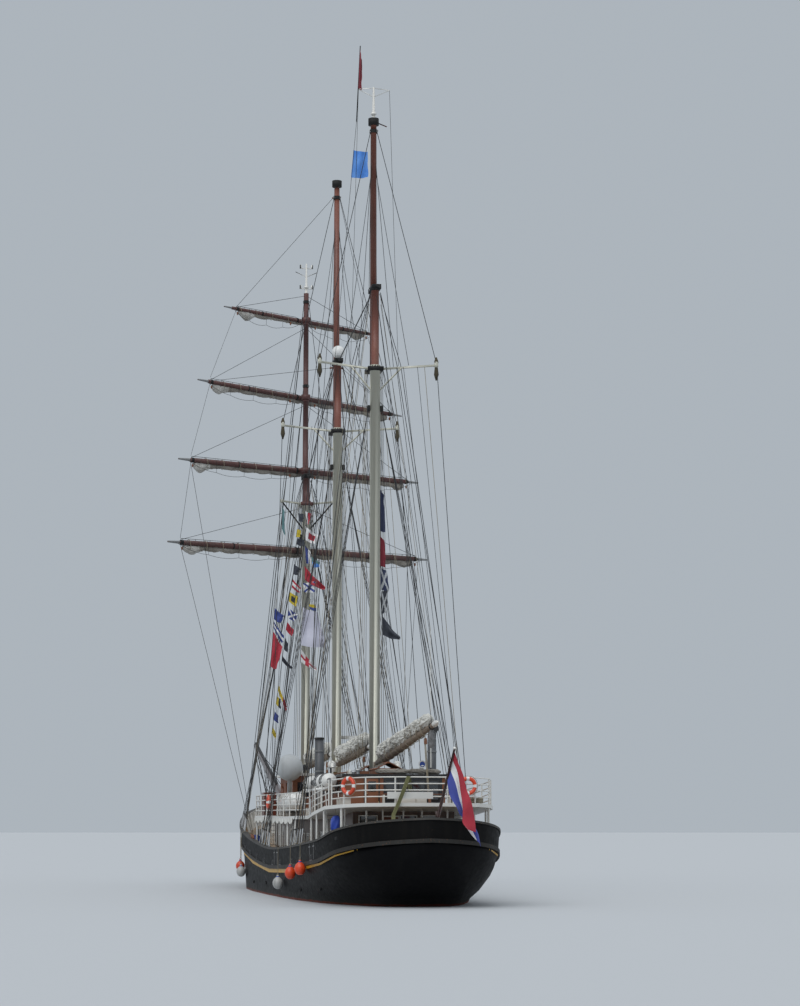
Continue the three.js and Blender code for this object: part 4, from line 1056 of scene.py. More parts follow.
@dataclass(frozen=True)
class MastPlan:
    """Where a mast's parts are: the lower mast's foot, crosstrees and cap, the topmast's head, and the spreader."""

    name: str
    x: float
    foot: float
    trees: float
    cap: float
    head: float
    half: float
    sweep: float
    feet: tuple[float, float, float]
    backstay: float
    cap_feet: tuple[float, float]
    topmast_ahead: float = 0.6

    def tip(self, side: int) -> Vector:
        """The spreader's end."""
        return Vector((self.x - self.sweep, side * self.half, self.trees))

    def on_spreader(self, share: float, side: int) -> Vector:
        """A point on the spreader, at a share of the way to its end."""
        return between((self.x, 0, self.trees), self.tip(side), share)


MIZZEN = MastPlan("mizzen", -12.0, 6.05, 26.9, 30.9, 40.06, 3.0, 1.0, (-12.2, -13.3, -14.4), -16.6, (-15.2, -15.9))
MAIN = MastPlan("main", 1.2, 4.19, 25.8, 29.6, 39.95, 3.24, 1.0, (0.9, -0.2, -1.3), -3.3, (-2.1, -2.8))
FORE = MastPlan("fore", 14.4, 2.75, 23.4, 24.9, 36.7, 1.58, 0.5, (14.1, 13.0, 11.9), 9.7, (11.0, 10.3))
MASTS = (MIZZEN, MAIN, FORE)


# Rigging


@dataclass
class StandingRigging:
    """The backstays, cap shrouds, ratlines and bowsprit gear that the main stays leave out."""

    wire: float = 0.018
    inner: float = 0.0143
    ratline: float = 0.0066
    mesh: float = 0.008
    screw: float = 0.038
    screw_long: float = 0.7
    rung: float = 0.40
    sheer_pole: float = 0.75
    hound_below: float = 2.15

    def build(self) -> None:
        """Makes each mast's standing lines, then the bowsprit's."""
        for mast in MASTS:
            self.stay_mast(mast)
            for side in SIDES:
                self.make_shrouds(mast, side)
                if mast is not MIZZEN:
                    self.make_ratlines(mast, side)
        self.stay_bowsprit()

    def make_shrouds(self, mast: MastPlan, side: int) -> None:
        """Makes the lower shrouds with their hound, rigging screws and sheer pole.

        Args:
            mast: The mast.
            side: 1 to port and -1 to starboard.
        """
        name = f"{mast.name}_shrouds_{side_name(side)}"
        form = Form(f"{name}_wires", "ship", (WIRE, GALVANISED, IRON), "wire")
        top = Vector((mast.x, side * 0.34, mast.trees - self.hound_below))
        form.block(top, (0.3, 0.14, 0.3), bevel=0.02, finish=2)
        feet = [rail(x, side, 0.03) for x in mast.feet]
        for foot in feet:
            self.run_down(form, top, foot)
        share = self.sheer_pole / (top.z - feet[0].z)
        form.rod(between(feet[0], top, share), between(feet[-1], top, share), 0.03, 0.03, 6, 2)
        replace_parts(form.place(), name)

    def stay_mast(self, mast: MastPlan) -> None:
        """Leads a mast's backstays over the spreaders and its cap shrouds down to the rail.

        Args:
            mast: The mast.
        """
        form = Form(f"{mast.name}_backstays", "ship", (WIRE, GALVANISED), "wire")
        for side in SIDES:
            head = Vector((mast.x + mast.topmast_ahead - 0.05, side * 0.12, mast.head - 0.35))
            tip = mast.tip(side) + Vector((0, side * 0.02, 0.06))
            foot = rail(mast.backstay, side)
            if mast is MIZZEN:
                foot = Vector((mast.backstay, side * 3.84, upper(mast.backstay)))
            form.line((head, tip), self.wire)
            self.run_down(form, tip, foot)
            for k, x in enumerate(mast.cap_feet):
                start = Vector((mast.x + 0.1 - 0.25 * k, side * 0.25, mast.cap - 0.12))
                over = mast.on_spreader(0.42 - 0.06 * k, side) + UP * 0.07
                form.line((start, over), self.wire)
                self.run_down(form, over, rail(x, side))
            if mast is not FORE:
                form.line((head - UP * 2.4, mast.on_spreader(0.55, side) + UP * 0.05), self.inner)
                form.line((head + Vector((0, side * -0.03, -1.6)), mast.on_spreader(0.3, side)), self.inner)
        form.place()

    def run_down(self, form: Form, top: Vector, foot: Vector) -> None:
        """Leads a wire down to a rigging screw on its foot.

        Args:
            form: The piece that it is added to.
            top: Its upper end.
            foot: Where it is made fast.
        """
        up = (top - foot).normalized()
        form.line((top, foot + up * self.screw_long), self.wire)
        form.rod(foot + up * self.screw_long, foot, self.screw, self.screw * 0.8, 6, 1)
        form.block(foot, (0.14, 0.06, 0.1), bevel=0.01, finish=1)

    def make_ratlines(self, mast: MastPlan, side: int) -> None:
        """Ties rungs between the lower shrouds.

        Args:
            mast: The mast.
            side: 1 to port and -1 to starboard.
        """
        form = Form(f"{mast.name}_ratlines_{side_name(side)}", "ship", (TARRED,), "wire")
        top = Vector((mast.x, side * 0.3, mast.trees - self.hound_below))
        feet = [rail(x, side, 0.03) for x in mast.feet]
        low = feet[0].z + self.sheer_pole
        for k in range(1, int((top.z - 1.6 - low) / self.rung)):
            z = low + k * self.rung
            knots = [between(foot, top, (z - foot.z) / (top.z - foot.z)) for foot in feet]
            hung = [p + Vector((0, side * 0.012, -0.02 * (i == 1))) for i, p in enumerate(knots)]
            form.line(hung, self.ratline, 4)
        form.place()

    def stay_bowsprit(self) -> None:
        """Adds the bobstay, the bowsprit guys and the footropes under the bowsprit."""
        form = Form("bowsprit_rigging", "ship", (WIRE, TARRED), "wire")
        tip, middle = Vector((40.7, 0, 9.08)), 34.9
        form.line(((25.25, 0, 0.8), tip), 0.035)
        form.line(((26.2, 0, 1.95), (middle, 0, 7.6)), 0.03)
        for side in SIDES:
            bow = Vector((24.3, side * 1.4, 4.7))
            inner = bow + Vector((1.0, -side * 0.42, 0.1))
            for plate in (bow, inner):
                form.block(plate, (0.3, 0.24, 0.1), bevel=0.01)
            form.line((bow, tip + Vector((0, side * 0.08, 0))), 0.026)
            form.line((inner, (middle, side * 0.12, 7.75)), 0.024)
            start, end = Vector((27.0, side * 0.30, 4.95)), Vector((40.2, side * 0.16, 8.5))
            edge = start + Vector((-0.5, side * 0.18, 0.26))
            form.line(sagging(start, end, 0.25, 10), 0.016, 5, 1)
            form.line(sagging(edge, end, 0.12, 10), 0.012, 5, 1)
            knots = zip(sagging(start, end, 0.25, 12), sagging(edge, end, 0.12, 12))
            for low, high in list(knots)[1:-1]:
                form.line((low, high), self.mesh, 4, 1)
                form.line((low, (low.x, 0, self.bowsprit_under(low.x))), self.mesh, 4, 1)
        form.place()

    @staticmethod
    def bowsprit_under(x: float) -> float:
        """The height of the bowsprit's lower side."""
        return 5.65 + (x - 27.5) * 0.256


@dataclass
class RunningRigging:
    """The halyards and other lines that come down to the rails and the masts' feet."""

    line: float = 0.0125
    seed: int = 5
    to_rail: int = 7
    pin: tuple = ((-0.2, 0.0), (-0.19, 0.018), (0.03, 0.018), (0.035, 0.028), (0.12, 0.03), (0.17, 0.016),
                  (0.18, 0.0))

    def build(self) -> None:
        """Makes a piece of lines for each mast, and the pin rails that they are belayed to."""
        for make in (self.rig_mast, self.make_pins):
            for mast in MASTS:
                make(mast)

    def rig_mast(self, mast: MastPlan) -> None:
        """Leads lines from the crosstrees and the cap to the rails and to the mast's foot.

        Args:
            mast: The mast.
        """
        rng = random.Random(self.seed + int(mast.x))
        form = Form(f"{mast.name}_running_lines", "ship", (TARRED, HEMP), "wire")
        for side in SIDES:
            for k in range(self.to_rail):
                share = 0.12 + 0.8 * k / self.to_rail
                top = mast.on_spreader(share, side) - Vector((0.05, 0, 0.06))
                if k % 3 == 1:
                    top = Vector((mast.x + 0.05, side * 0.3, mast.cap - 0.3 - 0.1 * k))
                foot = rail(mast.feet[0] + 0.25 - 0.47 * k + rng.uniform(-0.06, 0.06), side, 0.22)
                foot.z -= 0.1
                form.line((top, foot), self.line * rng.uniform(0.8, 1.2), 4, rng.random() < 0.35)
            self.lead_to_foot(form, mast, side, rng)
        form.place()

    def lead_to_foot(self, form: Form, mast: MastPlan, side: int, rng: random.Random) -> None:
        """Leads lines down beside the mast to its foot.

        Args:
            form: The piece that they are added to.
            mast: The mast.
            side: 1 to port and -1 to starboard.
            rng: The source of small differences.
        """
        ahead = -0.1 if mast is FORE else 0.35
        for k in range(4):
            top = Vector((mast.x + ahead + 0.03 * k, side * (0.31 + 0.05 * k), mast.trees - 0.15))
            foot = Vector((mast.x + ahead + 0.05 * k, side * (0.42 + 0.12 * k), mast.foot + 0.75))
            form.line((top, foot), self.line * rng.uniform(0.8, 1.2), 4, rng.random() < 0.5)
        if mast is not FORE:
            peak = Vector((mast.x + mast.topmast_ahead + 0.14, side * 0.1, mast.head - 0.8))
            form.line((peak, Vector((mast.x + 0.75, side * 0.2, mast.cap + 0.1))), self.line, 4)

    def make_pins(self, mast: MastPlan) -> None:
        """Makes a pin rail inside each bulwark, abreast of the mast, with its pins and coils of line.

        Args:
            mast: The mast.
        """
        rng = random.Random(self.seed)
        form = Form(f"{mast.name}_pin_rails", "ship", (VARNISH, HEMP, BRONZE), "varnished_wood")
        for side in SIDES:
            start = mast.feet[0] + 0.4
            fore, aft = (rail(start - d, side, 0.24) - UP * 0.14 for d in (0.0, 3.6))
            run = aft - fore
            turn = (Matrix.Rotation(math.atan2(run.y, run.x), 3, "Z")
                    @ Matrix.Rotation(-math.asin(run.z / run.length), 3, "Y"))
            form.block((fore + aft) / 2, (run.length, 0.14, 0.06), turn, 0.01)
            for k in range(9):
                pin = between(fore, aft, 0.06 + 0.11 * k)
                form.turned(self.pin, pin, sides=6, finish=2)
                if k % 4 != 3:
                    self.hang_coil(form, pin - Vector((0, side * 0.07, 0.05)), side, rng)
        form.place()

    @staticmethod
    def hang_coil(form: Form, peg: Vector, side: int, rng: random.Random) -> None:
        """Hangs a coil of line from a pin.

        Args:
            form: The piece that it is added to.
            peg: The pin's place.
            side: 1 to port and -1 to starboard.
            rng: The source of small differences.
        """
        long = rng.uniform(0.42, 0.6)
        for k in range(3):
            wide = 0.07 + 0.015 * k
            turn = rng.uniform(-0.15, 0.15)
            points = []
            for i in range(13):
                angle = math.tau * i / 12
                x = wide * math.sin(angle) * (1.15 - 0.5 * math.cos(angle)) / 1.3
                z = -long / 2 + long / 2 * math.cos(angle)
                points.append(peg + Vector((x + turn * -z, -side * (0.02 + 0.016 * k), z)))
            form.line(points, 0.011, 4, 1)


# Booms, yards and their furled sails


@dataclass(frozen=True)
class Spar:
    """A straight spar: a middle or heel, and the directions along, up and across it."""

    name: str
    start: Vector
    along: Vector

    @property
    def above(self) -> Vector:
        """The direction square to the spar that looks up."""
        return (UP - self.along * self.along.z).normalized()

    @property
    def beside(self) -> Vector:
        """The direction square to the spar that lies level."""
        return self.along.cross(self.above)

    def at(self, s: float, up: float = 0.0, side: float = 0.0) -> Vector:
        """The point at s along the spar, with offsets up and to its side."""
        return self.start + self.along * s + self.above * up + self.beside * side


def heading(turn: float, rise: float) -> Vector:
    """The direction that turns from the bow to port, and rises, by two angles."""
    return Vector((math.cos(rise) * math.cos(turn), math.cos(rise) * math.sin(turn), math.sin(rise)))


def boom_spar(name: str, x: float, z: float, rise: float, swing: float) -> Spar:
    """A boom, from its pin at x and z aft, that rises and that swings to starboard, in degrees."""
    return Spar(name, Vector((x, 0, z)), heading(math.radians(swing) - math.pi, math.radians(rise)))


def yard_spar(name: str, pin: float, z: float, lift: float) -> Spar:
    """A yard, from its middle, with distances to port along it.

    Args:
        name: The yard's name.
        pin: The place of the axis that it turns on.
        z: Its height.
        lift: How far its port end lifts, in degrees.

    Returns:
        The spar.
    """
    brace, ahead = math.radians(23.0), 0.42
    middle = Vector((pin, 0, z)) + heading(brace, 0.0) * ahead
    return Spar(name, middle, heading(brace + math.pi / 2, math.radians(lift)))


def folds(s: float, angle: float, seed: float) -> float:
    """How a furled sail's folds swell and pinch its skin.

    Args:
        s: The distance along the bundle.
        angle: The angle round it.
        seed: What makes one sail differ from another.

    Returns:
        A factor near 1.
    """
    y, z = math.cos(angle), math.sin(angle)
    lumps = noise.noise(Vector((s * 0.9 + seed, y * 1.3, z * 1.3)))
    ripples = noise.noise(Vector((s * 2.6 + seed, y * 3.0 + s * 0.5, z * 3.0)))
    tucks = 1.0 - abs(noise.noise(Vector((s * 1.7 - seed, y * 4.2, z * 4.2 + s * 0.6))))
    small = 1.0 - abs(noise.noise(Vector((s * 4.6 + seed, y * 8.0, z * 8.0))))
    return 1.0 + 0.20 * lumps + 0.15 * ripples - 0.26 * tucks ** 7 - 0.11 * small ** 6


@dataclass
class BoomGear:
    """A boom's furled sail with its gaskets, and its lifts, sheet tackle and end fittings."""

    spar: Spar
    length: float
    sail: tuple[float, float]
    wide: float
    high: float
    lift_to: float
    sheet_at: float
    sheet_to: Vector
    seed: float
    gasket: float = 0.93
    boom_radius: float = 0.19
    fold_long: float = 0.036
    folds_round: int = 60

    @property
    def body(self) -> str:
        """The body that the gear rides on."""
        return f"{self.spar.name}_boom"

    def build(self) -> None:
        """Makes the sail, its gaskets and the boom's lines."""
        self.make_sail()
        self.make_gaskets()
        self.make_lifts()
        self.make_sheet()

    def girth(self, s: float, angle: float) -> tuple[float, float]:
        """The furled sail's skin at s and an angle, as offsets up and to the side.

        Args:
            s: The distance along the boom.
            angle: The angle round the bundle.

        Returns:
            The offsets up and to the side.
        """
        start, end = self.sail
        share = (s - start) / (end - start)
        ends = min(1.0, (max(0.0, share) / 0.05) ** 0.5) * min(1.0, (max(0.0, 1.0 - share) / 0.06) ** 0.5)
        body = 1.08 - 0.22 * share
        tied = (s - start) / self.gasket % 1.0
        pinch = 1.0 - 0.17 * math.exp(-((min(tied, 1.0 - tied) * self.gasket / 0.11) ** 2))
        size = ends * body * pinch * folds(s, angle, self.seed)
        droop = -0.06 * max(0.0, -math.sin(angle)) * (1.0 + noise.noise(Vector((s * 0.8, self.seed, 0.0))))
        up = self.boom_radius * 0.75 + self.high * 0.78 + math.sin(angle) * self.high * size + droop
        return up, math.cos(angle) * self.wide * size

    def make_sail(self) -> None:
        """Makes the furled sail as one rumpled bundle on the boom."""
        start, end = self.sail
        form = Form(f"{self.spar.name}_furled_sail", self.body, (CANVAS,), "canvas")

        def skin(u: float, v: float) -> Vector:
            s = start + u * (end - start)
            return self.spar.at(s, *self.girth(s, v * math.tau))

        form.sheet(skin, int((end - start) / self.fold_long), self.folds_round)
        form.close(fill=False)
        piece = form.place(80.0)
        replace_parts(piece, f"{self.spar.name}_sail")

    def make_gaskets(self) -> None:
        """Ties the sail down with gaskets, and puts three bands round the boom."""
        start, end = self.sail
        form = Form(f"{self.spar.name}_gaskets", self.body, (HEMP, BOOM_GREY), "wire")
        radius = self.boom_radius
        s = start + self.gasket
        while s < end - 0.2:
            points = []
            for k in range(21):
                angle = math.tau * k / 20
                up, side = self.girth(s, angle)
                if math.sin(angle) < -0.2:
                    up, side = radius * 1.05 * math.sin(angle), radius * 1.155 * math.cos(angle)
                points.append(self.spar.at(s + 0.03 * math.sin(angle * 2), up, side * 1.02))
            form.line(points, 0.017, 5)
            tail = ((0.0, 0.0, 0.03), (0.03, 0.12, 0.05), (0.02, 0.3, 0.06))
            form.line([self.spar.at(s + ahead, -radius - drop, side) for ahead, drop, side in tail], 0.013, 4)
            s += self.gasket
        for place in (0.25, 0.5, 0.75):
            form.ring(self.spar.at(place * self.length), self.spar.along, self.boom_radius, 0.02, 16, 1)
        form.place()

    def make_lifts(self) -> None:
        """Leads the topping lifts from the boom's end up to the cap, on the axis that the boom swings on."""
        form = Form(f"{self.spar.name}_topping_lift", self.body, (WIRE, WHITE, IRON), "wire")
        top = Vector((self.spar.start.x, 0, self.lift_to))
        for side in SIDES:
            form.line((self.spar.at(self.length - 0.35, 0.06, side * 0.1), top), 0.014, 5)
        end = self.spar.at(self.length)
        horn = ((-0.28, 0.0), (-0.27, 0.135), (0.05, 0.13), (0.16, 0.1), (0.3, 0.05), (0.42, 0.0))
        iron = ((-0.75, 0.0), (-0.74, 0.16), (-0.66, 0.16), (-0.65, 0.0))
        for finish, profile in enumerate((horn, iron), 1):
            form.turned(profile, end, self.spar.along, 16, finish)
        form.place()

    def make_sheet(self) -> None:
        """Leads the sheet tackle from the boom down to the deck, as a loose piece that rides on no body."""
        top = self.spar.at(self.sheet_at, -self.boom_radius - 0.2)
        form = Form(f"{self.spar.name}_sheet", "ship", (HEMP, VARNISH, GALVANISED), "wire")
        low = Vector(self.sheet_to)
        down = (low - top).normalized()
        for k in range(4):
            spread = Vector((0.05 * (k - 1.5), 0.04 * (k % 2), 0))
            points = [between(top + spread, low + spread, t / 16) for t in range(17)]
            form.line(points, 0.013, 4)
        for end, way in ((top, down), (low, -down)):
            form.block(end + way * 0.1, (0.17, 0.13, 0.3), upright(way), 0.045, 1)
            form.rod(end + way * 0.02, end - way * 0.18, 0.02, sides=6, finish=2)
        form.blend(self.body)


@dataclass
class YardGear:
    """A yard's furled sail, footropes, jackstay, end fittings, lifts, sheets and braces."""

    spar: Spar
    half: float
    radius: float
    lift_to: Vector
    below: tuple[Spar, float] | None
    brace_to: tuple[Vector, Vector]
    seed: float
    gasket: float = 1.12
    bare: float = 1.02
    band: float = 0.95
    clew: float = 0.85
    rope: float = 0.011

    @property
    def body(self) -> str:
        """The body that the gear rides on."""
        return f"{self.spar.name}_yard"

    def build(self) -> None:
        """Makes the sail, the footropes, the fittings and the lines."""
        self.make_sail()
        self.make_footropes()
        self.make_fittings()
        self.make_lines()
        self.make_braces()

    def skin(self, u: float, v: float) -> Vector:
        """The furled sail's skin, which hangs in scallops between its gaskets and looser at the yardarms.

        Args:
            u: The share of the way along the yard, from its starboard end.
            v: The share of the way round the bundle.

        Returns:
            The point.
        """
        reach = self.half - self.bare
        s = -reach + 2 * reach * u
        angle = v * math.tau
        ends = min(1.0, (max(0.0, u) / 0.012) ** 0.5) * min(1.0, (max(0.0, 1.0 - u) / 0.012) ** 0.5)
        sway = 0.5 + noise.noise(Vector((s * 0.45, self.seed, 3.0)))
        scallop = abs(math.sin(math.pi * s / self.gasket)) ** 0.7 * (0.35 + sway)
        loose = math.exp(-(((reach - abs(s)) - 0.6) / 0.42) ** 2) * (1.0 if s > 0 else 0.6)
        size = ends * (0.75 * self.radius + 0.02 * scallop + 0.05 * loose) * folds(s * 1.3, angle, self.seed)
        hang = 0.06 * scallop + 0.17 * loose
        up = -1.15 * self.radius - hang * 0.8 + math.sin(angle) * (size + hang * 0.7)
        ahead = 0.6 * self.radius + math.cos(angle) * size
        return self.spar.at(s, up, -self.aft(ahead))

    def aft(self, distance: float) -> float:
        """The sideways offset that lies aft of the yard."""
        return distance if self.spar.beside.x < 0 else -distance

    def make_sail(self) -> None:
        """Makes the furled sail under the yard."""
        form = Form(f"{self.spar.name}_furled_sail", self.body, (OLD_CANVAS, LOOSE_CANVAS), "canvas")
        loose = 1.15 / (2 * (self.half - self.bare))
        form.sheet(self.skin, int(2 * self.half / 0.055), 26, lambda u, v: int(u > 1 - loose))
        form.close(fill=False)
        piece = form.place(80.0)
        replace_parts(piece, f"{self.spar.name}_sail")

    def make_footropes(self) -> None:
        """Hangs a footrope on stirrups under each half of the yard."""
        form = Form(f"{self.spar.name}_footropes", self.body, (TARRED,), "wire")
        for side in SIDES:
            places = [side * (0.35 + (self.half - self.band) * k / 4) for k in range(5)]
            drops = (0.3, 0.66, 0.72, 0.66, 0.1)
            hung = [self.spar.at(s, -drop, self.aft(0.18)) for s, drop in zip(places, drops)]
            points = []
            for a, b in zip(hung, hung[1:]):
                points += sagging(a, b, 0.12, 5)[:-1]
            form.line([*points, hung[-1]], self.rope, 5)
            for s, end in list(zip(places, hung))[1:4]:
                over = self.spar.at(s, self.radius, self.aft(0.05))
                behind = self.spar.at(s, 0, self.aft(self.radius + 0.02))
                form.line((over, behind, end), self.rope, 4)
        form.place()

    def make_fittings(self) -> None:
        """Makes the iron bands, the slim grey yardarms, the jackstay and the blocks."""
        form = Form(f"{self.spar.name}_yard_fittings", self.body, (IRON, GREY, VARNISH, HEMP), "black_iron")
        for side in SIDES:
            for place, wide in ((self.half - self.band, 0.16), (self.half * 0.52, 0.08), (0.42, 0.1)):
                radius = self.radius * (1.0 - 0.35 * (place / self.half) ** 2) + 0.022
                form.band(self.spar.at(side * place), self.spar.along, wide / 2, radius, 14)
            arm = self.spar.at(side * (self.half - 0.02))
            form.rod(arm - self.spar.along * side * 0.75, arm, self.radius * 0.52, self.radius * 0.3, 10, 1)
            for drop, place in ((0.165, self.half - self.band), (0.18, 0.9)):
                block = self.spar.at(side * place, -self.radius - drop, self.aft(0.05))
                form.ball(block, (0.075, 0.055, 0.11), 2, 8)
            stay = [self.spar.at(side * (0.5 + (self.half - 1.4) * k / 8), self.radius + 0.05) for k in range(9)]
            form.line(stay, 0.014, 5)
            for post in stay:
                form.rod(post, post - self.spar.above * 0.12, 0.014, sides=4)
            for k in range(1, int((self.half - self.bare) / self.gasket) + 1):
                self.tie_gasket(form, side * k * self.gasket)
        form.place()

    def tie_gasket(self, form: Form, s: float) -> None:
        """Ties one gasket round the yard and its sail.

        Args:
            form: The piece that gets it.
            s: Its place along the yard.
        """
        loop = []
        for k in range(13):
            out, up = math.cos(k * math.tau / 12), math.sin(k * math.tau / 12)
            aft = -self.aft(self.radius * (0.35 + 1.46 * out))
            loop.append(self.spar.at(s + 0.02 * up, self.radius * (1.66 * up - 0.55), aft))
        form.line(loop, 0.016, 4, 3)

    def make_lines(self) -> None:
        """Leads the lifts to the topmast, on the axis that the yard turns on, and the sheets to the yard below."""
        form = Form(f"{self.spar.name}_lifts", self.body, (WIRE, TARRED), "wire")
        for side in SIDES:
            arm = self.spar.at(side * (self.half - self.band), self.radius)
            form.line((arm, self.lift_to), 0.0135, 4)
            if self.below:
                lower, reach = self.below
                corner = self.spar.at(side * (self.half - self.clew), -self.radius)
                form.line((corner, lower.at(side * (reach - self.clew), 0.26)), 0.013, 4, 1)
        form.place()

    def make_braces(self) -> None:
        """Leads a brace from each yardarm to the ship, each as a loose piece that rides on no body."""
        for side, foot in zip(SIDES, self.brace_to):
            form = Form(f"{self.spar.name}_brace_{side_name(side)}", "ship", (TARRED, VARNISH), "wire")
            arm = self.spar.at(side * (self.half - 0.75), 0.0, self.aft(self.radius * 0.6))
            form.line(sagging(foot, arm, 0.0, 24), 0.0125, 4)
            way = (arm - foot).normalized()
            form.block(foot + way * 0.1, (0.09, 0.13, 0.22), upright(way), 0.03, 1)
            form.blend(self.body)


LOWER_TOPSAIL = yard_spar("lower_topsail", 14.95, 20.5, 0.0)
UPPER_TOPSAIL = yard_spar("upper_topsail", 15.0, 25.5, 0.5)
TOPGALLANT = yard_spar("topgallant", 15.0, 30.1, 3.5)
ROYAL = yard_spar("royal", 15.0, 35.0, 3.0)


def spar_gear() -> list[BoomGear | YardGear]:
    """The gear of the three booms and the four yards."""
    stern = Vector((-22.3, -0.9, upper(-22.3) + 0.12))
    booms = [
        BoomGear(boom_spar("mizzen", -12.48, 6.62, 8.4, 5.2), 11.1, (0.9, 10.25), 0.35, 0.37, 30.55, 9.2, stern, 1.7),
        BoomGear(boom_spar("main", 0.72, 7.0, 3.0, 0.0), 11.5, (0.95, 10.6), 0.42, 0.43, 29.25, 9.4,
                 Vector((-8.6, 0, TRUNK_TOP)), 7.3),
        BoomGear(boom_spar("fore", 13.92, 7.15, 2.6, 0.0), 10.9, (0.95, 10.0), 0.40, 0.4, 24.5, 9.0,
                 Vector((4.9, 0, WHEELHOUSE_TOP)), 4.1),
    ]
    by_rail = [tuple(rail(x, side) for side in SIDES) for x in (5.2, 4.5)]
    by_mast = [tuple(Vector((x, side * y, z)) for side in SIDES)
               for x, y, z in ((1.45, 0.28, 29.4), (1.85, 0.14, 39.5))]
    yards = [
        YardGear(LOWER_TOPSAIL, 9.3, 0.19, Vector((14.95, 0, 23.18)), None, by_rail[0], 2.2),
        YardGear(UPPER_TOPSAIL, 8.64, 0.18, Vector((15.0, 0, 29.6)), (LOWER_TOPSAIL, 9.3), by_rail[1], 5.9),
        YardGear(TOPGALLANT, 7.4, 0.16, Vector((15.0, 0, 34.5)), (UPPER_TOPSAIL, 8.64), by_mast[0], 8.8),
        YardGear(ROYAL, 5.63, 0.13, Vector((15.0, 0, 36.55)), (TOPGALLANT, 7.4), by_mast[1], 3.4),
    ]
    return [*booms, *yards]


# The hull


DECK_HALF = (0.33, 1.10, 2.18, 3.08, 3.74, 4.09, 4.23, 4.29, 4.32, 4.29, 4.17, 3.86, 3.24, 2.33, 1.15, 0.34)
BULWARK_AFT = -27.52
BULWARK_FORWARD = (27.1, 0.267, 0.201)


def smooth(points: Sequence[Vector], steps: int) -> list[Vector]:
    """A smooth line through points, whose first and last only steer it.

    Args:
        points: The points.
        steps: The number of parts between two points.

    Returns:
        The line's points.
    """
    line = []
    for a, b, c, d in zip(points, points[1:], points[2:], points[3:]):
        for t in (k / steps for k in range(steps)):
            bend = (2 * a - 5 * b + 4 * c - d) * t * t + (3 * b - a - 3 * c + d) * t ** 3
            line.append((2 * b + (c - a) * t + bend) / 2)
    return [*line, points[-2]]


def bulwark_rows() -> list[Vector]:
    """The port bulwark's plan from the stern to the stem: x, half-breadths of rail and deck, height of the rail."""
    rows = [Vector((x, half, foot, z)) for (x, z, half), foot in zip(SHEER, DECK_HALF)]
    x, half, foot = BULWARK_FORWARD
    stem = Vector((x, half, foot, along_table(SHEER, x)[0]))
    stern = Vector((BULWARK_AFT, 0.0, 0.0, 3.961))
    mirrored = Vector((rows[0].x, -rows[0].y, -rows[0].z, rows[0].w))
    return smooth([mirrored, stern, *rows, stem, stem * 2 - rows[-1]], 4)


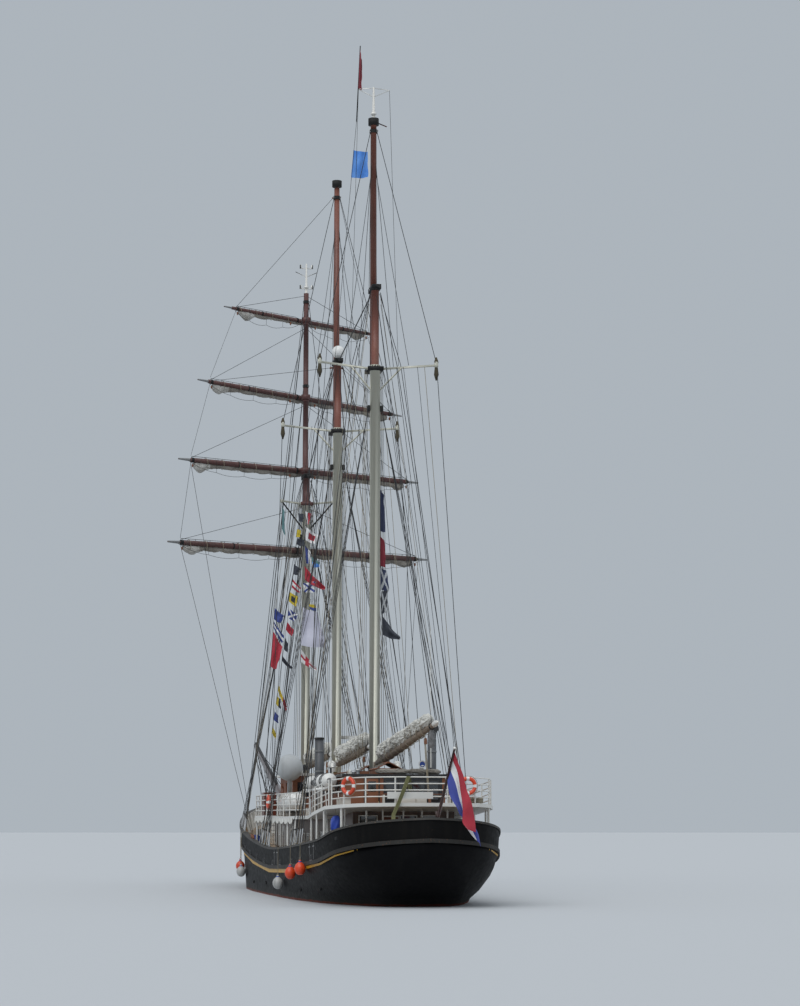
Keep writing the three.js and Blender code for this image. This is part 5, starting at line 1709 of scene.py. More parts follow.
@dataclass
class Bulwark:
    """One side's bulwark with its rub rail and cap, faired from the stern to the stem, and what is let into it."""

    side: int
    section: tuple = ((0.08, 0, -0.04), (0.08, 0, 0.14), (0.0, 0, 0.14), (0.0, 1, -0.1), (0.06, 1, -0.1),
                      (0.06, 1, 0.0), (-0.2, 1, 0.0), (-0.2, 1, -0.1), (-0.12, 1, -0.1), (-0.12, 0, -0.04))
    finishes: tuple = (3, 3, 0, 0, 2, 2, 1, 1, 1, 0)
    ports: tuple = (-19.5, -16.0, -13.0, -8.5, -5.5, -1.5, 2.0, 5.5, 8.5, 12.5, 16.0, 19.0)
    chocks: tuple = (-24.2, -20.8, -11.0, -0.2, 10.8, 20.4, 24.6)
    gates: tuple = (-20.2, -19.1, -7.4, -6.2)

    def build(self) -> None:
        """Makes the skin and its fittings."""
        self.rows = bulwark_rows()
        name = side_name(self.side)
        form = Form(f"bulwark_skin_{name}", "ship", (BULWARK_BLACK, WHITE, CAP_GREY, RUB_GREY), "hull_paint")
        form.sheet(self.corner, len(self.rows) - 1, len(self.section), lambda u, v: self.finishes[int(v * 10)])
        for face in form.close():
            face.material_index = 0
        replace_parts(form.place(30.0), f"bulwark_{name}")
        self.make_fittings(name)

    def heading(self, i: int) -> Vector:
        """The direction along the plan at one of its rows."""
        after, before = self.rows[min(i + 1, len(self.rows) - 1)], self.rows[max(i - 1, 0)]
        along = Vector((after.x - before.x, after.y - before.y, 0)).normalized()
        return Vector((0, 1, 0)) if i == 0 else along

    def corner(self, u: float, v: float) -> Vector:
        """The skin's point for a share of the length and a share of the way round the section."""
        i = round(u * (len(self.rows) - 1))
        out, share, extra = self.section[round(v * len(self.section)) % len(self.section)]
        return self.on_side(i, out, share, extra)

    def on_side(self, i: int, out: float, share: float, extra: float = 0.0) -> Vector:
        """A point of the bulwark at one of its rows.

        Args:
            i: The row's number.
            out: The distance outwards from the skin.
            share: The share of the height.
            extra: The height over that.

        Returns:
            The point.
        """
        row, along = self.rows[i], self.heading(i)
        y = row.z + (row.y - row.z) * share + along.x * out
        z = row.w - BULWARK_HIGH * (1 - share) + extra
        return Vector((row.x - along.y * out, self.side * y, z))

    def at(self, x: float, out: float, share: float) -> tuple[Vector, Matrix]:
        """A point of the bulwark at x, and the turn of its local axes: along, outwards and up."""
        i = next(k for k, row in enumerate(self.rows) if row.x >= x)
        a, b = self.on_side(i - 1, out, share), self.on_side(i, out, share)
        part = (x - self.rows[i - 1].x) / (self.rows[i].x - self.rows[i - 1].x)
        along = (b - a).normalized()
        up = (self.on_side(i, out, 1) - self.on_side(i, out, 0)).normalized()
        turn = Matrix((along, up.cross(along), up)).transposed()
        return a.lerp(b, part), turn

    def make_fittings(self, name: str) -> None:
        """Makes the freeing ports, chocks, gate seams and stays inside.

        Args:
            name: The side's name.
        """
        form = Form(f"bulwark_fittings_{name}", "ship", (BLACK, GREY, WHITE, IRON), "black_iron")
        for x in self.ports:
            point, turn = self.at(x, 0.004, 0.26)
            form.block(point, (0.84, 0.03, 0.30), turn, 0.012)
            form.block(point, (0.72, 0.05, 0.18), turn, 0.012, 3)
            for step in (-0.2, 0.2):
                form.block(point + turn @ Vector((step, 0, 0.12)), (0.09, 0.07, 0.07), turn, 0.01, 3)
        for x in self.chocks:
            point, turn = self.at(x, -0.06, 0.62)
            for part in (-0.16, 0.16):
                form.ring(point + turn @ Vector((part, 0, 0)), turn @ Vector((0, 1, 0)), 0.13, 0.045, 16, 1)
            form.block(point, (0.3, 0.14, 0.16), turn, 0.03, 3)
        for x in self.gates:
            for out in (0.004, -0.124):
                point, turn = self.at(x, out, 0.56)
                form.block(point, (0.025, 0.02, 0.82), turn, 0.0, 1)
                for step in (-0.12, 0.12):
                    form.block(point + turn @ Vector((step, 0, 0.2)), (0.14, 0.035, 0.06), turn, 0.01, 1)
        for x in (k * 1.3 - 24.0 for k in range(37)):
            point, turn = self.at(x, -0.2, 0.45)
            form.block(point, (0.03, 0.16, 0.92), turn, 0.0, 2)
        form.place()


@dataclass
class HullTrim:
    """The gold stripe, the draught marks, the anodes and the fenders, laid on the hull's own surface."""

    stripe: tuple[float, float] = (-25.7, 26.2)
    wide: float = 0.19
    under: float = 0.05
    outlets: tuple = ((-19.4, 0.7), (-14.8, 0.55), (-6.3, 0.5), (-2.6, 0.62), (3.4, 0.55), (9.0, 0.8))
    outlet: tuple = ((-0.05, 0.0), (-0.05, 0.09), (0.05, 0.09), (0.05, 0.06), (0.0, 0.06), (0.0, 0.0))
    anodes: tuple = ((-20.0, -0.9), (-18.4, -1.2), (-9.0, -1.8), (0.0, -2.0), (9.0, -1.8), (17.0, -1.4))
    fenders: tuple = ((-14.5, 1.34, 0), (-17.8, 1.6, 0), (-9.7, 0.75, 1), (11.5, 1.28, 0), (9.3, 1.0, 1))
    fender: tuple = ((-0.30, 0.0), (-0.29, 0.09), (-0.22, 0.19), (-0.08, 0.262), (0.06, 0.268), (0.18, 0.22),
                     (0.27, 0.13), (0.31, 0.075), (0.38, 0.062), (0.41, 0.04), (0.41, 0.0))
    collar: tuple = ((0.30, 0.0), (0.30, 0.085), (0.35, 0.08), (0.35, 0.0))
    hang: tuple = (0.02, 0.01, 1)

    def build(self) -> None:
        """Makes the trim on both sides and the fenders to port."""
        self.tree = surface("hull")
        self.make_stripes()
        self.make_underwater_fittings()
        self.make_fenders()

    def skin(self, x: float, z: float, side: int) -> Vector:
        """The hull's surface at x and z on one side."""
        hit = self.tree.ray_cast(Vector((x, side * 8.0, z)) * SCALE, Vector((0, -side, 0)))[0]
        return hit / SCALE

    def make_stripes(self) -> None:
        """Lays the gold stripe under the rub rail on each side."""
        form = Form("hull_stripe", "ship", (GOLD,))
        start, end = self.stripe
        for side in SIDES:
            def corner(u: float, v: float) -> Vector:
                x = start + (end - start) * u
                narrow = min(1.0, 0.25 + 3.0 * u, 0.25 + 4.0 * (1 - u))
                z = deck(x) - self.under - self.wide * narrow * (0.12 + v)
                return self.skin(x, z, side) + Vector((0, side * 0.012, 0))
            form.sheet(corner, 180, 1)
        bmesh.ops.recalc_face_normals(form.mesh, faces=form.mesh.faces)
        bmesh.ops.solidify(form.mesh, geom=form.mesh.faces, thickness=0.014)
        form.place()

    def make_underwater_fittings(self) -> None:
        """Makes the draught marks at the stem, the overboard pipes and the anodes."""
        form = Form("hull_fittings", "ship", (WHITE, GALVANISED, IRON), "white_paint")
        for side in SIDES:
            for k in range(6):
                form.block(self.skin(23.6, 0.25 + 0.3 * k, side), (0.16, 0.03, 0.05))
            for x, z in self.outlets:
                form.turned(self.outlet, self.skin(x, z, side), (0, side, 0), 14, 2)
            for x, z in self.anodes:
                form.block(self.skin(x, z, side), (0.7, 0.09, 0.14), bevel=0.03, finish=1)
        form.place()

    def make_fenders(self) -> None:
        """Hangs the round fenders from the port rail, against the hull."""
        form = Form("fenders", "ship", (ORANGE, FENDER_GREY, HEMP, BLUE))
        for x, z, finish in self.fenders:
            centre = self.skin(x, z, 1) + Vector((0, 0.30, 0))
            form.turned(self.fender, centre, self.hang, 24, finish)
            form.turned(self.collar, centre, self.hang, 16, 3)
            form.ring(centre + UP * 0.44, (1, 0, 0), 0.04, 0.014, 12, 2)
            cap = rail(x, 1, -0.09)
            inboard = [(x, cap.y - in_, cap.z + up) for in_, up in ((0.06, 0.03), (0.3, 0.02), (0.33, -0.3))]
            top = (cap.x, max(cap.y, centre.y), cap.z - 0.1)
            form.line([centre + UP * 0.46, top, *inboard], 0.015, 6, 2)
        form.place()


# Flags


class Pattern(Enum):
    """How a flag is divided. Each gives the finish's number for the shares along the fly and down from its head."""

    PLAIN = 0
    BARS = 1
    HALVES = 2
    THIRDS = 3
    SQUARE = 4
    SALTIRE = 5
    CROSS = 6

    def finish(self, u: float, v: float) -> int:
        """The number of the finish at a place on the flag.

        Args:
            u: The share of the way from the hoist.
            v: The share of the way down from the upper edge.

        Returns:
            The finish's number.
        """
        if self is Pattern.BARS:
            return int(u > 0.5)
        if self is Pattern.HALVES:
            return int(v > 0.5)
        if self is Pattern.THIRDS:
            return int(v * 3)
        if self is Pattern.SQUARE:
            return int(abs(u - 0.5) < 0.27 and abs(v - 0.5) < 0.27)
        if self is Pattern.SALTIRE:
            return int(min(abs(u - v), abs(u + v - 1)) < 0.13)
        if self is Pattern.CROSS:
            return int(min(abs(u - 0.4), abs(v - 0.5)) < 0.12)
        return 0


@dataclass
class Flag:
    """One flag or pennant. Its corners are the y and z of the hoist's two ends, then of the fly's two ends."""

    pattern: Pattern
    finishes: tuple[Finish, ...]
    corners: tuple[tuple[float, float], ...]

    def make(self, name: str, x: float | tuple[float, float], carrier: Sequence[str | bpy.types.Object]) -> None:
        """Makes the flag with the ripples of a light wind.

        Args:
            name: The piece's name.
            x: Where the flag hangs.
            carrier: What carries it. It is not used.
        """
        top, foot, high, low = (Vector((x, *corner)) for corner in self.corners)
        hoist = max((top - foot).length, 0.25)
        fly = max((high - top).length, (low - foot).length)
        waves = 1.0 + fly * 0.8
        phase = (top.z * 7.3 + top.y * 3.1) % math.tau

        def corner(u: float, v: float) -> Vector:
            flat = top.lerp(high, u).lerp(foot.lerp(low, u), v)
            swell = min(1.0, u * 2.5) * 0.07 * min(fly, 1.6)
            ripple = math.sin(u * math.tau * waves * 0.7 + phase + v * 1.4)
            ripple += 0.5 * math.sin(v * math.tau * 1.2 + phase)
            curl = noise.noise(Vector((u * 3, v * 3, phase))) * 0.05 * u
            droop = math.sin(u * math.pi) * 0.05 * fly
            return flat + Vector((swell * ripple + curl, curl, curl - droop))
        form = Form(name, "ship", self.finishes, "flag_cloth")
        form.sheet(corner, 24, 16, self.pattern.finish)
        form.place(70.0, outward=False)


PLAIN, BARS, HALVES, THIRDS, SQUARE, SALTIRE, CROSS = Pattern
FORE_STRING = (
    Flag(BARS, (FLAG_WHITE, FLAG_RED), ((0.21, 22.75), (0.08, 21.95), (-0.16, 22.64), (-0.04, 21.96))),
    Flag(SQUARE, (FLAG_WHITE, FLAG_RED), ((0.20, 21.83), (0.17, 20.97), (-0.73, 21.23), (-0.48, 20.73))),
    Flag(BARS, (FLAG_BLUE, FLAG_WHITE), ((0.20, 20.66), (0.13, 19.55), (-0.18, 20.23), (-0.18, 19.50))),
    Flag(HALVES, (FLAG_TEAL, FLAG_SKY), ((-0.18, 19.99), (-0.30, 19.31), (-0.73, 19.63), (-0.67, 19.32))),
    Flag(PLAIN, (FLAG_RED,), ((0.22, 19.37), (0.18, 18.51), (-1.11, 18.10), (-1.02, 17.91))),
    Flag(SALTIRE, (FLAG_WHITE, FLAG_BLUE), ((0.31, 18.32), (0.24, 17.77), (-0.49, 18.46), (-0.43, 17.78))),
    Flag(PLAIN, (FLAG_GREY,), ((-0.13, 17.84), (-0.19, 17.29), (-0.56, 17.29), (-0.50, 16.86))),
    Flag(PLAIN, (FLAG_LILAC,), ((0.30, 16.85), (0.44, 14.53), (-0.63, 16.56), (-1.13, 14.43))),
    Flag(HALVES, (FLAG_YELLOW, FLAG_BLUE), ((-0.07, 17.03), (-0.13, 16.73), (-0.50, 17.04), (-0.50, 16.61))),
    Flag(CROSS, (FLAG_WHITE, FLAG_RED), ((0.41, 14.29), (0.43, 13.56), (-0.58, 13.14), (-0.52, 12.96))),
)
MAIN_STRING = (
    Flag(PLAIN, (FLAG_DARK,), ((2.38, 20.85), (2.33, 20.41), (2.05, 20.80), (2.10, 20.35))),
    Flag(PLAIN, (FLAG_YELLOW,), ((2.43, 19.95), (2.49, 19.51), (2.21, 19.90), (2.26, 19.51))),
    Flag(PLAIN, (FLAG_DARK,), ((2.40, 19.43), (2.46, 19.09), (1.99, 19.38), (2.04, 18.98))),
    Flag(PLAIN, (FLAG_DARK,), ((2.59, 18.00), (2.64, 17.44), (2.20, 17.73), (2.42, 17.39))),
    Flag(THIRDS, (FLAG_RED, FLAG_WHITE, FLAG_RED), ((2.66, 17.16), (2.72, 16.70), (2.19, 16.67), (2.30, 16.40))),
    Flag(SQUARE, (FLAG_YELLOW, FLAG_DARK), ((2.82, 16.44), (2.88, 15.92), (2.40, 16.22), (2.46, 15.62))),
    Flag(SALTIRE, (FLAG_BLUE, FLAG_WHITE), ((2.89, 15.55), (2.93, 15.02), (2.40, 15.22), (2.50, 14.79))),
    Flag(PLAIN, (FLAG_RED,), ((2.95, 14.77), (3.03, 14.34), (2.57, 14.33), (2.68, 13.96))),
    Flag(PLAIN, (FLAG_DARK,), ((3.07, 13.94), (3.13, 13.28), (2.86, 13.50), (2.95, 13.10))),
    Flag(PLAIN, (FLAG_DARK,), ((3.20, 12.89), (3.24, 12.62), (2.67, 12.29), (2.72, 12.15))),
    Flag(BARS, (FLAG_YELLOW, FLAG_RED), ((3.40, 11.29), (3.44, 10.98), (2.93, 10.09), (2.99, 9.87))),
    Flag(BARS, (FLAG_YELLOW, FLAG_DARK), ((3.50, 10.69), (3.55, 10.25), (3.28, 10.52), (3.30, 9.98))),
    Flag(PLAIN, (FLAG_BLUE,), ((3.61, 9.86), (3.68, 9.38), (3.38, 9.59), (3.43, 9.21))),
    Flag(PLAIN, (FLAG_YELLOW,), ((3.73, 9.04), (3.77, 8.66), (3.50, 8.61), (3.55, 8.34))),
)
SIDE_STRING = (
    Flag(PLAIN, (FLAG_TEAL,), ((3.36, 21.17), (3.38, 19.88), (3.22, 20.79), (3.20, 19.50))),
    Flag(PLAIN, (FLAG_BLUE,), ((3.74, 15.48), (3.78, 14.87), (3.21, 15.04), (3.40, 14.61))),
    Flag(THIRDS, (FLAG_BLUE, FLAG_WHITE, FLAG_BLUE), ((3.79, 14.76), (3.80, 14.40), (3.20, 13.94), (3.30, 13.52))),
    Flag(PLAIN, (FLAG_RED,), ((3.82, 14.21), (3.95, 12.27), (3.28, 13.33), (3.62, 12.12))),
)
MIZZEN_STRING = (
    Flag(PLAIN, (FLAG_NAVY,), ((-0.31, 20.66), (-0.32, 18.50), (-0.50, 20.36), (-0.62, 18.40))),
    Flag(PLAIN, (FLAG_BURGUNDY,), ((-0.32, 18.25), (-0.32, 16.72), (-0.54, 18.00), (-0.60, 16.62))),
    Flag(SALTIRE, (FLAG_NAVY, FLAG_GREY), ((-0.34, 16.61), (-0.34, 15.50), (-0.68, 16.47), (-0.78, 15.40))),
    Flag(SALTIRE, (FLAG_DARK, FLAG_GREY), ((-0.36, 15.40), (-0.38, 14.27), (-0.78, 15.50), (-0.58, 14.33))),
    Flag(PLAIN, (FLAG_DARK,), ((-0.42, 14.20), (-0.44, 13.20), (-1.36, 13.10), (-1.33, 12.97))),
)
STICK_PENNANT = Flag(PLAIN, (FLAG_BURGUNDY,), ((0.73, 43.95), (0.81, 41.81), (0.60, 43.30), (0.64, 41.70)))
HALYARD_FLAG = Flag(PLAIN, (FLAG_SKY,), ((1.08, 38.42), (1.21, 36.95), (0.32, 38.40), (0.32, 37.02)))


@dataclass
class FlagLine:
    """A line with flags bent to it. It passes the hoist of each flag."""

    name: str
    x: float
    start: Point
    ends: tuple[Point, ...]
    flags: tuple[Flag, ...]

    def build(self) -> None:
        """Makes the line, then the flags."""
        form = Form(self.name, "ship", (TARRED,), "wire")
        hoists = [Vector((self.x, *corner)) for flag in self.flags for corner in flag.corners[:2]]
        hoists.sort(key=lambda p: -p.z)
        form.line([self.start, *hoists, *self.ends], 0.012, 4)
        line = form.place()
        for k, flag in enumerate(self.flags):
            flag.make(f"{self.name}_flag_{k + 1:02d}", self.x, [line])


@dataclass
class Mastheads:
    """The halyards, pennant and flag at the mizzen's head, and the bands, chains and shackles of the topmasts."""

    def build(self) -> None:
        """Makes each in turn."""
        form = Form("mizzen_head_lines", "ship", (TARRED, HEMP), "wire")
        for points in (((-11.4, 0.9, 40.0), (-12.8, 2.2, 26.95)),
                       ((-11.4, -0.84, 41.77), (-12.0, -1.14, 28.9), (-12.1, -1.2, 27.0)),
                       ((-11.4, 0.80, 41.80), (-12.2, 1.3, 27.0))):
            form.line(points, 0.011, 4)
        line = form.place()
        STICK_PENNANT.make("stick_pennant", -11.43, ["mizzen_topmast"])
        HALYARD_FLAG.make("halyard_flag", -11.57, [line])
        self.band_topmasts()

    def band_topmasts(self) -> None:
        """Makes the bands at each topmast's cap and hounds, and the chain that hangs aft of it."""
        form = Form("topmast_bands", "ship", (IRON, HEMP, GALVANISED, WHITE), "black_iron")
        rng = random.Random(11)
        for mast, thick in ((MIZZEN, 0.19), (MAIN, 0.19), (FORE, 0.165)):
            x = mast.x + mast.topmast_ahead
            heights = [mast.cap + 0.12, mast.head - 0.55]
            if mast is FORE:
                heights.insert(1, (mast.cap + mast.head) / 2)
            for height in heights:
                middle = Vector((x, 0, height))
                form.band(middle, UP, 0.09, thick + 0.02)
                for turn in (0.6, 2.2, 3.9, 5.4):
                    out = heading(turn, 0.0) * (thick + 0.05)
                    form.ring(middle + out, (out.y, -out.x, 0), 0.055, 0.018, 10, 2)
            for k in range(26):
                z = mast.cap + 0.3 - k * (mast.cap - mast.trees) / 24
                ends = [(x - 0.27 + rng.uniform(-0.01, 0.01), 0.1, high) for high in (z, z - 0.2)]
                form.rod(*ends, 0.03, sides=5, finish=1)
            form.ball((x, 0, mast.head + 0.4), (0.16, 0.16, 0.1), 3, 12)
        form.place()


@dataclass
class Ensign:
    """The striped ensign, which droops from its staff in one twisted fold."""

    rows: tuple = (
        ((-0.86, 6.77), (-0.79, 6.43), (-0.71, 6.06), (-0.62, 5.72)),
        ((-1.07, 6.25), (-0.96, 6.03), (-0.82, 5.66), (-0.60, 5.26)),
        ((-1.26, 5.76), (-1.10, 5.45), (-0.98, 5.17), (-0.72, 4.83)),
        ((-1.39, 5.26), (-1.20, 4.83), (-1.15, 4.62), (-0.94, 4.40)),
        ((-1.51, 4.83), (-1.21, 4.34), (-1.30, 4.21), (-1.16, 4.05)),
        ((-1.64, 4.34), (-1.21, 3.97), (-1.52, 3.84), (-1.66, 3.74)),
        ((-1.74, 3.84), (-1.21, 3.69), (-1.74, 3.35), (-1.96, 3.30)),
        ((-1.76, 3.32), (-1.40, 3.42), (-1.92, 2.95), (-2.10, 2.71)),
    )
    depth: tuple = (
        (-28.50, -28.37, -28.24, -28.12), (-28.48, -28.36, -28.28, -28.18), (-28.48, -28.34, -28.40, -28.22),
        (-28.52, -28.42, -28.28, -28.34), (-28.56, -28.52, -28.20, -28.20), (-28.54, -28.56, -28.12, -28.08),
        (-28.50, -28.58, -28.10, -28.12), (-28.46, -28.56, -28.14, -28.20),
    )
    hoist: float = 1.6

    def build(self) -> None:
        """Makes the cloth as smooth curves through the edges of its three stripes."""
        edges = []
        for k in range(4):
            line = [Vector((depth[k], *row[k])) for row, depth in zip(self.rows, self.depth)]
            edges.append(smooth([line[0] * 2 - line[1], *line, line[-1] * 2 - line[-2]], 8))

        def corner(u: float, v: float) -> Vector:
            i = round(u * (len(edges[0]) - 1))
            across = [edge[i] for edge in edges]
            fair = smooth([across[0] * 2 - across[1], *across, across[3] * 2 - across[2]], 6)
            loose = min(1.0, u * 6)
            pleat = math.sin(v * math.tau * 2.5 + u * 5.0) * 0.045 + math.sin(u * 17.0 + v * 3.0) * 0.03
            return fair[round(v * (len(fair) - 1))] + Vector((pleat, pleat * 0.3, 0)) * loose
        form = Form("ensign_cloth", "ship", (FLAG_RED, FLAG_WHITE, ENSIGN_BLUE), "flag_cloth")
        form.sheet(corner, len(edges[0]) - 1, 18, lambda u, v: int(v * 3))
        piece = form.place(75.0, outward=False)
        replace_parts(piece, "ensign")


FLAG_LINES = (
    FlagLine("fore_flag_line", 13.5, (14.05, 0.1, 23.35), ((13.5, 0.2, 12.4), (14.05, 0.1, 11.0)), FORE_STRING),
    FlagLine("main_flag_line", -0.05, (0.2, 1.6, 25.8), ((0.0, 4.1, 4.3),), MAIN_STRING),
    FlagLine("side_flag_line", -0.75, (0.2, 2.6, 25.8), ((-0.6, 4.22, 2.7),), SIDE_STRING),
    FlagLine("mizzen_flag_line", -11.72, (-11.7, -0.3, 24.3), ((-11.72, -0.45, 12.6), (-11.75, -0.3, 10.4)),
             MIZZEN_STRING),
)


# The houses


def facing(normal: Point) -> Matrix:
    """The turn of a panel that faces a level direction: its width, its depth along the normal and its height."""
    out = Vector(normal)
    return Matrix((out.cross(UP), out, UP)).transposed()


@dataclass
class Joinery:
    """Windows and doors, set on the walls of one house. Their finishes are frame, glass, wood and brass."""

    form: Form
    frame: int = 0
    glass: int = 1
    wood: int = 2
    brass: int = 3

    def window(self, centre: Point, normal: Point, wide: float, high: float, bar: float = 0.05) -> None:
        """Adds a pane in a frame of four bars.

        Args:
            centre: The middle of the window on the wall.
            normal: The direction that it faces.
            wide: Its width.
            high: Its height.
            bar: The width of its frame.
        """
        turn = facing(normal)
        middle = Vector(centre)
        self.form.block(middle, (wide, 0.03, high), turn, 0.0, self.glass)
        for side in SIDES:
            beside = turn @ Vector((side * (wide + bar) / 2, 0.01, 0))
            self.form.block(middle + beside, (bar, 0.06, high + 2 * bar), turn, 0.008, self.frame)
            over = turn @ Vector((0, 0.012, side * (high + bar) / 2))
            self.form.block(middle + over, (wide, 0.06, bar), turn, 0.008, self.frame)

    def door(self, foot: Point, normal: Point, wide: float, high: float) -> None:
        """Adds a panelled door with a pane, hinges, a handle and a sill.

        Args:
            foot: The middle of its lower edge on the wall.
            normal: The direction that it faces.
            wide: Its width.
            high: Its height.
        """
        turn = facing(normal)
        base = Vector(foot)

        def part(across: float, out: float, up: float, size: Point, bevel: float, finish: int) -> None:
            self.form.block(base + turn @ Vector((across, out, up)), size, turn, bevel, finish)
        part(0, 0.0, high / 2, (wide + 0.14, 0.05, high + 0.1), 0.01, self.frame)
        part(0, 0.02, high / 2, (wide, 0.06, high - 0.04), 0.01, self.wood)
        part(0, 0.05, high * 0.27, (wide * 0.62, 0.03, high * 0.36), 0.012, self.wood)
        part(0, 0.05, high * 0.73, (wide * 0.62, 0.03, high * 0.34), 0.012, self.glass)
        part(0, 0.08, 0.03, (wide + 0.2, 0.2, 0.06), 0.015, self.wood)
        for share in (0.2, 0.8):
            part(-wide / 2, 0.055, high * share, (0.05, 0.05, 0.12), 0.01, self.brass)
        handle = base + turn @ Vector((wide * 0.39, 0.09, high * 0.5))
        self.form.ball(handle, (0.035, 0.035, 0.035), self.brass, 8)


@dataclass
class Houses:
    """Windows, doors, panes, posts and mouldings of the four houses."""

    def build(self) -> None:
        """Dresses each house in turn."""
        self.dress_main_house()
        self.dress_trunk()
        self.dress_wheelhouse()
        self.dress_fore_house()

    def dress_main_house(self) -> None:
        """Puts windows and doors into the walls under the upper deck, and the posts of its aft end."""
        form = Form("main_house_joinery", "ship", (WHITE, WINDOW_GLASS, LOCKER_WOOD, BRONZE), "white_paint")
        joinery = Joinery(form)
        doors, wall, aft_wall, posts = (-15.6, -6.4, 5.0), 2.41, -20.51, -21.4
        for side in SIDES:
            for k in range(16):
                x = -19.2 + 1.75 * k
                if min(abs(x - d) for d in doors) > 0.95:
                    joinery.window((x, side * wall, deck(x) + 1.42), (0, side, 0), 0.86, 0.62)
            for x in doors:
                joinery.door((x, side * wall, deck(x) + 0.12), (0, side, 0), 0.78, 1.85)
        floor = deck(-20.5)
        joinery.door((aft_wall, 0.6, floor + 0.1), AFT, 0.68, 2.0)
        for y, wide in ((-0.23, 0.72), (-1.25, 0.8), (1.68, 0.8)):
            joinery.window((aft_wall, y, floor + 1.72), AFT, wide, 0.8)
        for y in (-2.9, -1.9, -0.70, 0.17, 1.13, 1.9, 2.9):
            form.rod((posts, y, deck(posts)), (posts, y, upper(posts) - 0.16), 0.04, sides=8)
        form.place()

    def dress_trunk(self) -> None:
        """Puts windows and mouldings on the trunk cabin, and a grab rail on its roof."""
        form = Form("trunk_joinery", "ship", (BLACK, WINDOW_GLASS, VARNISH, BRONZE, DARK_BOARDS), "varnished_wood")
        joinery = Joinery(form)
        for side in SIDES:
            for k in range(7):
                joinery.window((-17.1 + 1.36 * k, side * 2.46, 5.42), (0, side, 0), 0.74, 0.42)
            for high, tall in ((4.36, 0.14), (5.78, 0.07)):
                form.block((-13, side * 2.47, high), (9.9, 0.05, tall), bevel=0.02, finish=2)
            for k in range(8):
                foot = Vector((-17.3 + 1.2 * k, side * 2.2, TRUNK_TOP))
                form.rod(foot, foot + UP * 0.09, 0.025, finish=2)
            form.line([(x, side * 2.2, TRUNK_TOP + 0.1) for x in (-17.5, -13.0, -8.7)], 0.028, 8, 2)
        form.block((-18.01, -0.88, 5.14), (0.04, 2.84, 1.62), bevel=0.01, finish=4)
        for y in (0.16, -0.5, -1.16, -1.82):
            joinery.window((-18.04, y, 5.3), AFT, 0.56, 0.86, 0.045)
        joinery.door((-18.01, 1.1, 4.4), AFT, 0.62, 1.45)
        for y in (-1.6, 0.0, 1.6):
            joinery.window((-7.99, y, 5.4), AHEAD, 0.7, 0.5)
        form.place()

    def dress_wheelhouse(self) -> None:
        """Glazes the wheelhouse and its doors, with mouldings, lamps and a horn."""
        form = Form("wheelhouse_joinery", "ship", (WHITE, WINDOW_GLASS, VARNISH, BRONZE, ORANGE, SIGNAL_GREEN, IRON),
                    "varnished_wood")
        joinery = Joinery(form, frame=2)
        for side in SIDES:
            for x in (3.75, 4.77, 5.79):
                joinery.window((x, side * 2.14, 5.65), (0, side, 0), 0.84, 0.82, 0.03)
            for high, tall in ((4.27, 0.12), (5.17, 0.06), (6.13, 0.06)):
                form.block((4.85, side * 2.215, high), (3.9, 0.04, tall), bevel=0.012, finish=2)
            form.block((4.2, side * 2.34, 6.72), (0.9, 0.05, 0.3), bevel=0.01, finish=6)
            form.ball((4.35, side * 2.44, 6.72), (0.1, 0.08, 0.13), 4 if side > 0 else 5, 12)
            grip = ((3.4, 2.26), (3.4, 2.3), (6.4, 2.3), (6.4, 2.26))
            form.line([(x, side * y, 5.1) for x, y in grip], 0.02, 6, 3)
        for i in range(4):
            y = (i - 1.5) * 1.02
            joinery.window((3.06, y, 5.65), AFT, 0.84, 0.82, 0.03)
            joinery.window((8.54, y, 5.65), AHEAD, 0.84, 0.82, 0.03)
        self.top_wheelhouse(form)
        form.place()
        for side, name in zip(SIDES, both("door")):
            pane = Form(f"wheelhouse_{name}_pane", name, (VARNISH, WINDOW_GLASS, VARNISH, BRONZE), "varnished_wood")
            Joinery(pane).window((7.275, side * 2.15, 5.56), (0, side, 0), 0.47, 0.64, 0.02)
            pane.block((7.275, side * 2.203, 4.85), (0.5, 0.03, 0.66), bevel=0.01, finish=2)
            knob = (6.97, side * 2.27, 5.02)
            pane.rod((6.97, side * 2.2, 5.02), knob, 0.018, sides=8, finish=3)
            pane.rod(knob, (7.1, side * 2.27, 5.02), 0.016, sides=8, finish=3)
            pane.place()

    @staticmethod
    def top_wheelhouse(form: Form) -> None:
        """Adds the searchlight, the horn, two domes and the grab rails of the wheelhouse's roof."""
        top = WHEELHOUSE_TOP
        lamp = ((-0.14, 0.0), (-0.14, 0.12), (0.1, 0.2), (0.16, 0.2), (0.16, 0.17), (0.1, 0.0))
        horn = ((0.0, 0.0), (0.0, 0.05), (0.35, 0.06), (0.5, 0.15), (0.5, 0.12), (0.35, 0.0))
        dome = ((0.0, 0.0), (0.0, 0.16), (0.16, 0.16), (0.26, 0.11), (0.3, 0.0))
        form.turned(((0.0, 0.0), (0.0, 0.09), (0.3, 0.06), (0.3, 0.0)), (7.9, 0.9, top), sides=12, finish=6)
        form.turned(lamp, (7.9, 0.9, top + 0.42), AHEAD, 16, 6)
        form.turned(horn, (7.6, -1.0, top + 0.16), (1, 0, 0.05), 14, 3)
        form.block((7.7, -1.0, top + 0.07), (0.3, 0.12, 0.15), bevel=0.02, finish=6)
        for x, y in ((5.0, 1.5), (5.6, -1.4)):
            form.turned(dome, (x, y, top))
        for side in SIDES:
            for x in (3.3, 4.9, 6.5, 8.2):
                form.rod((x, side * 2.3, top), (x, side * 2.3, top + 0.12), 0.02)
            form.line([(x, side * 2.3, top + 0.12) for x in (3.2, 5.7, 8.3)], 0.022, 6)

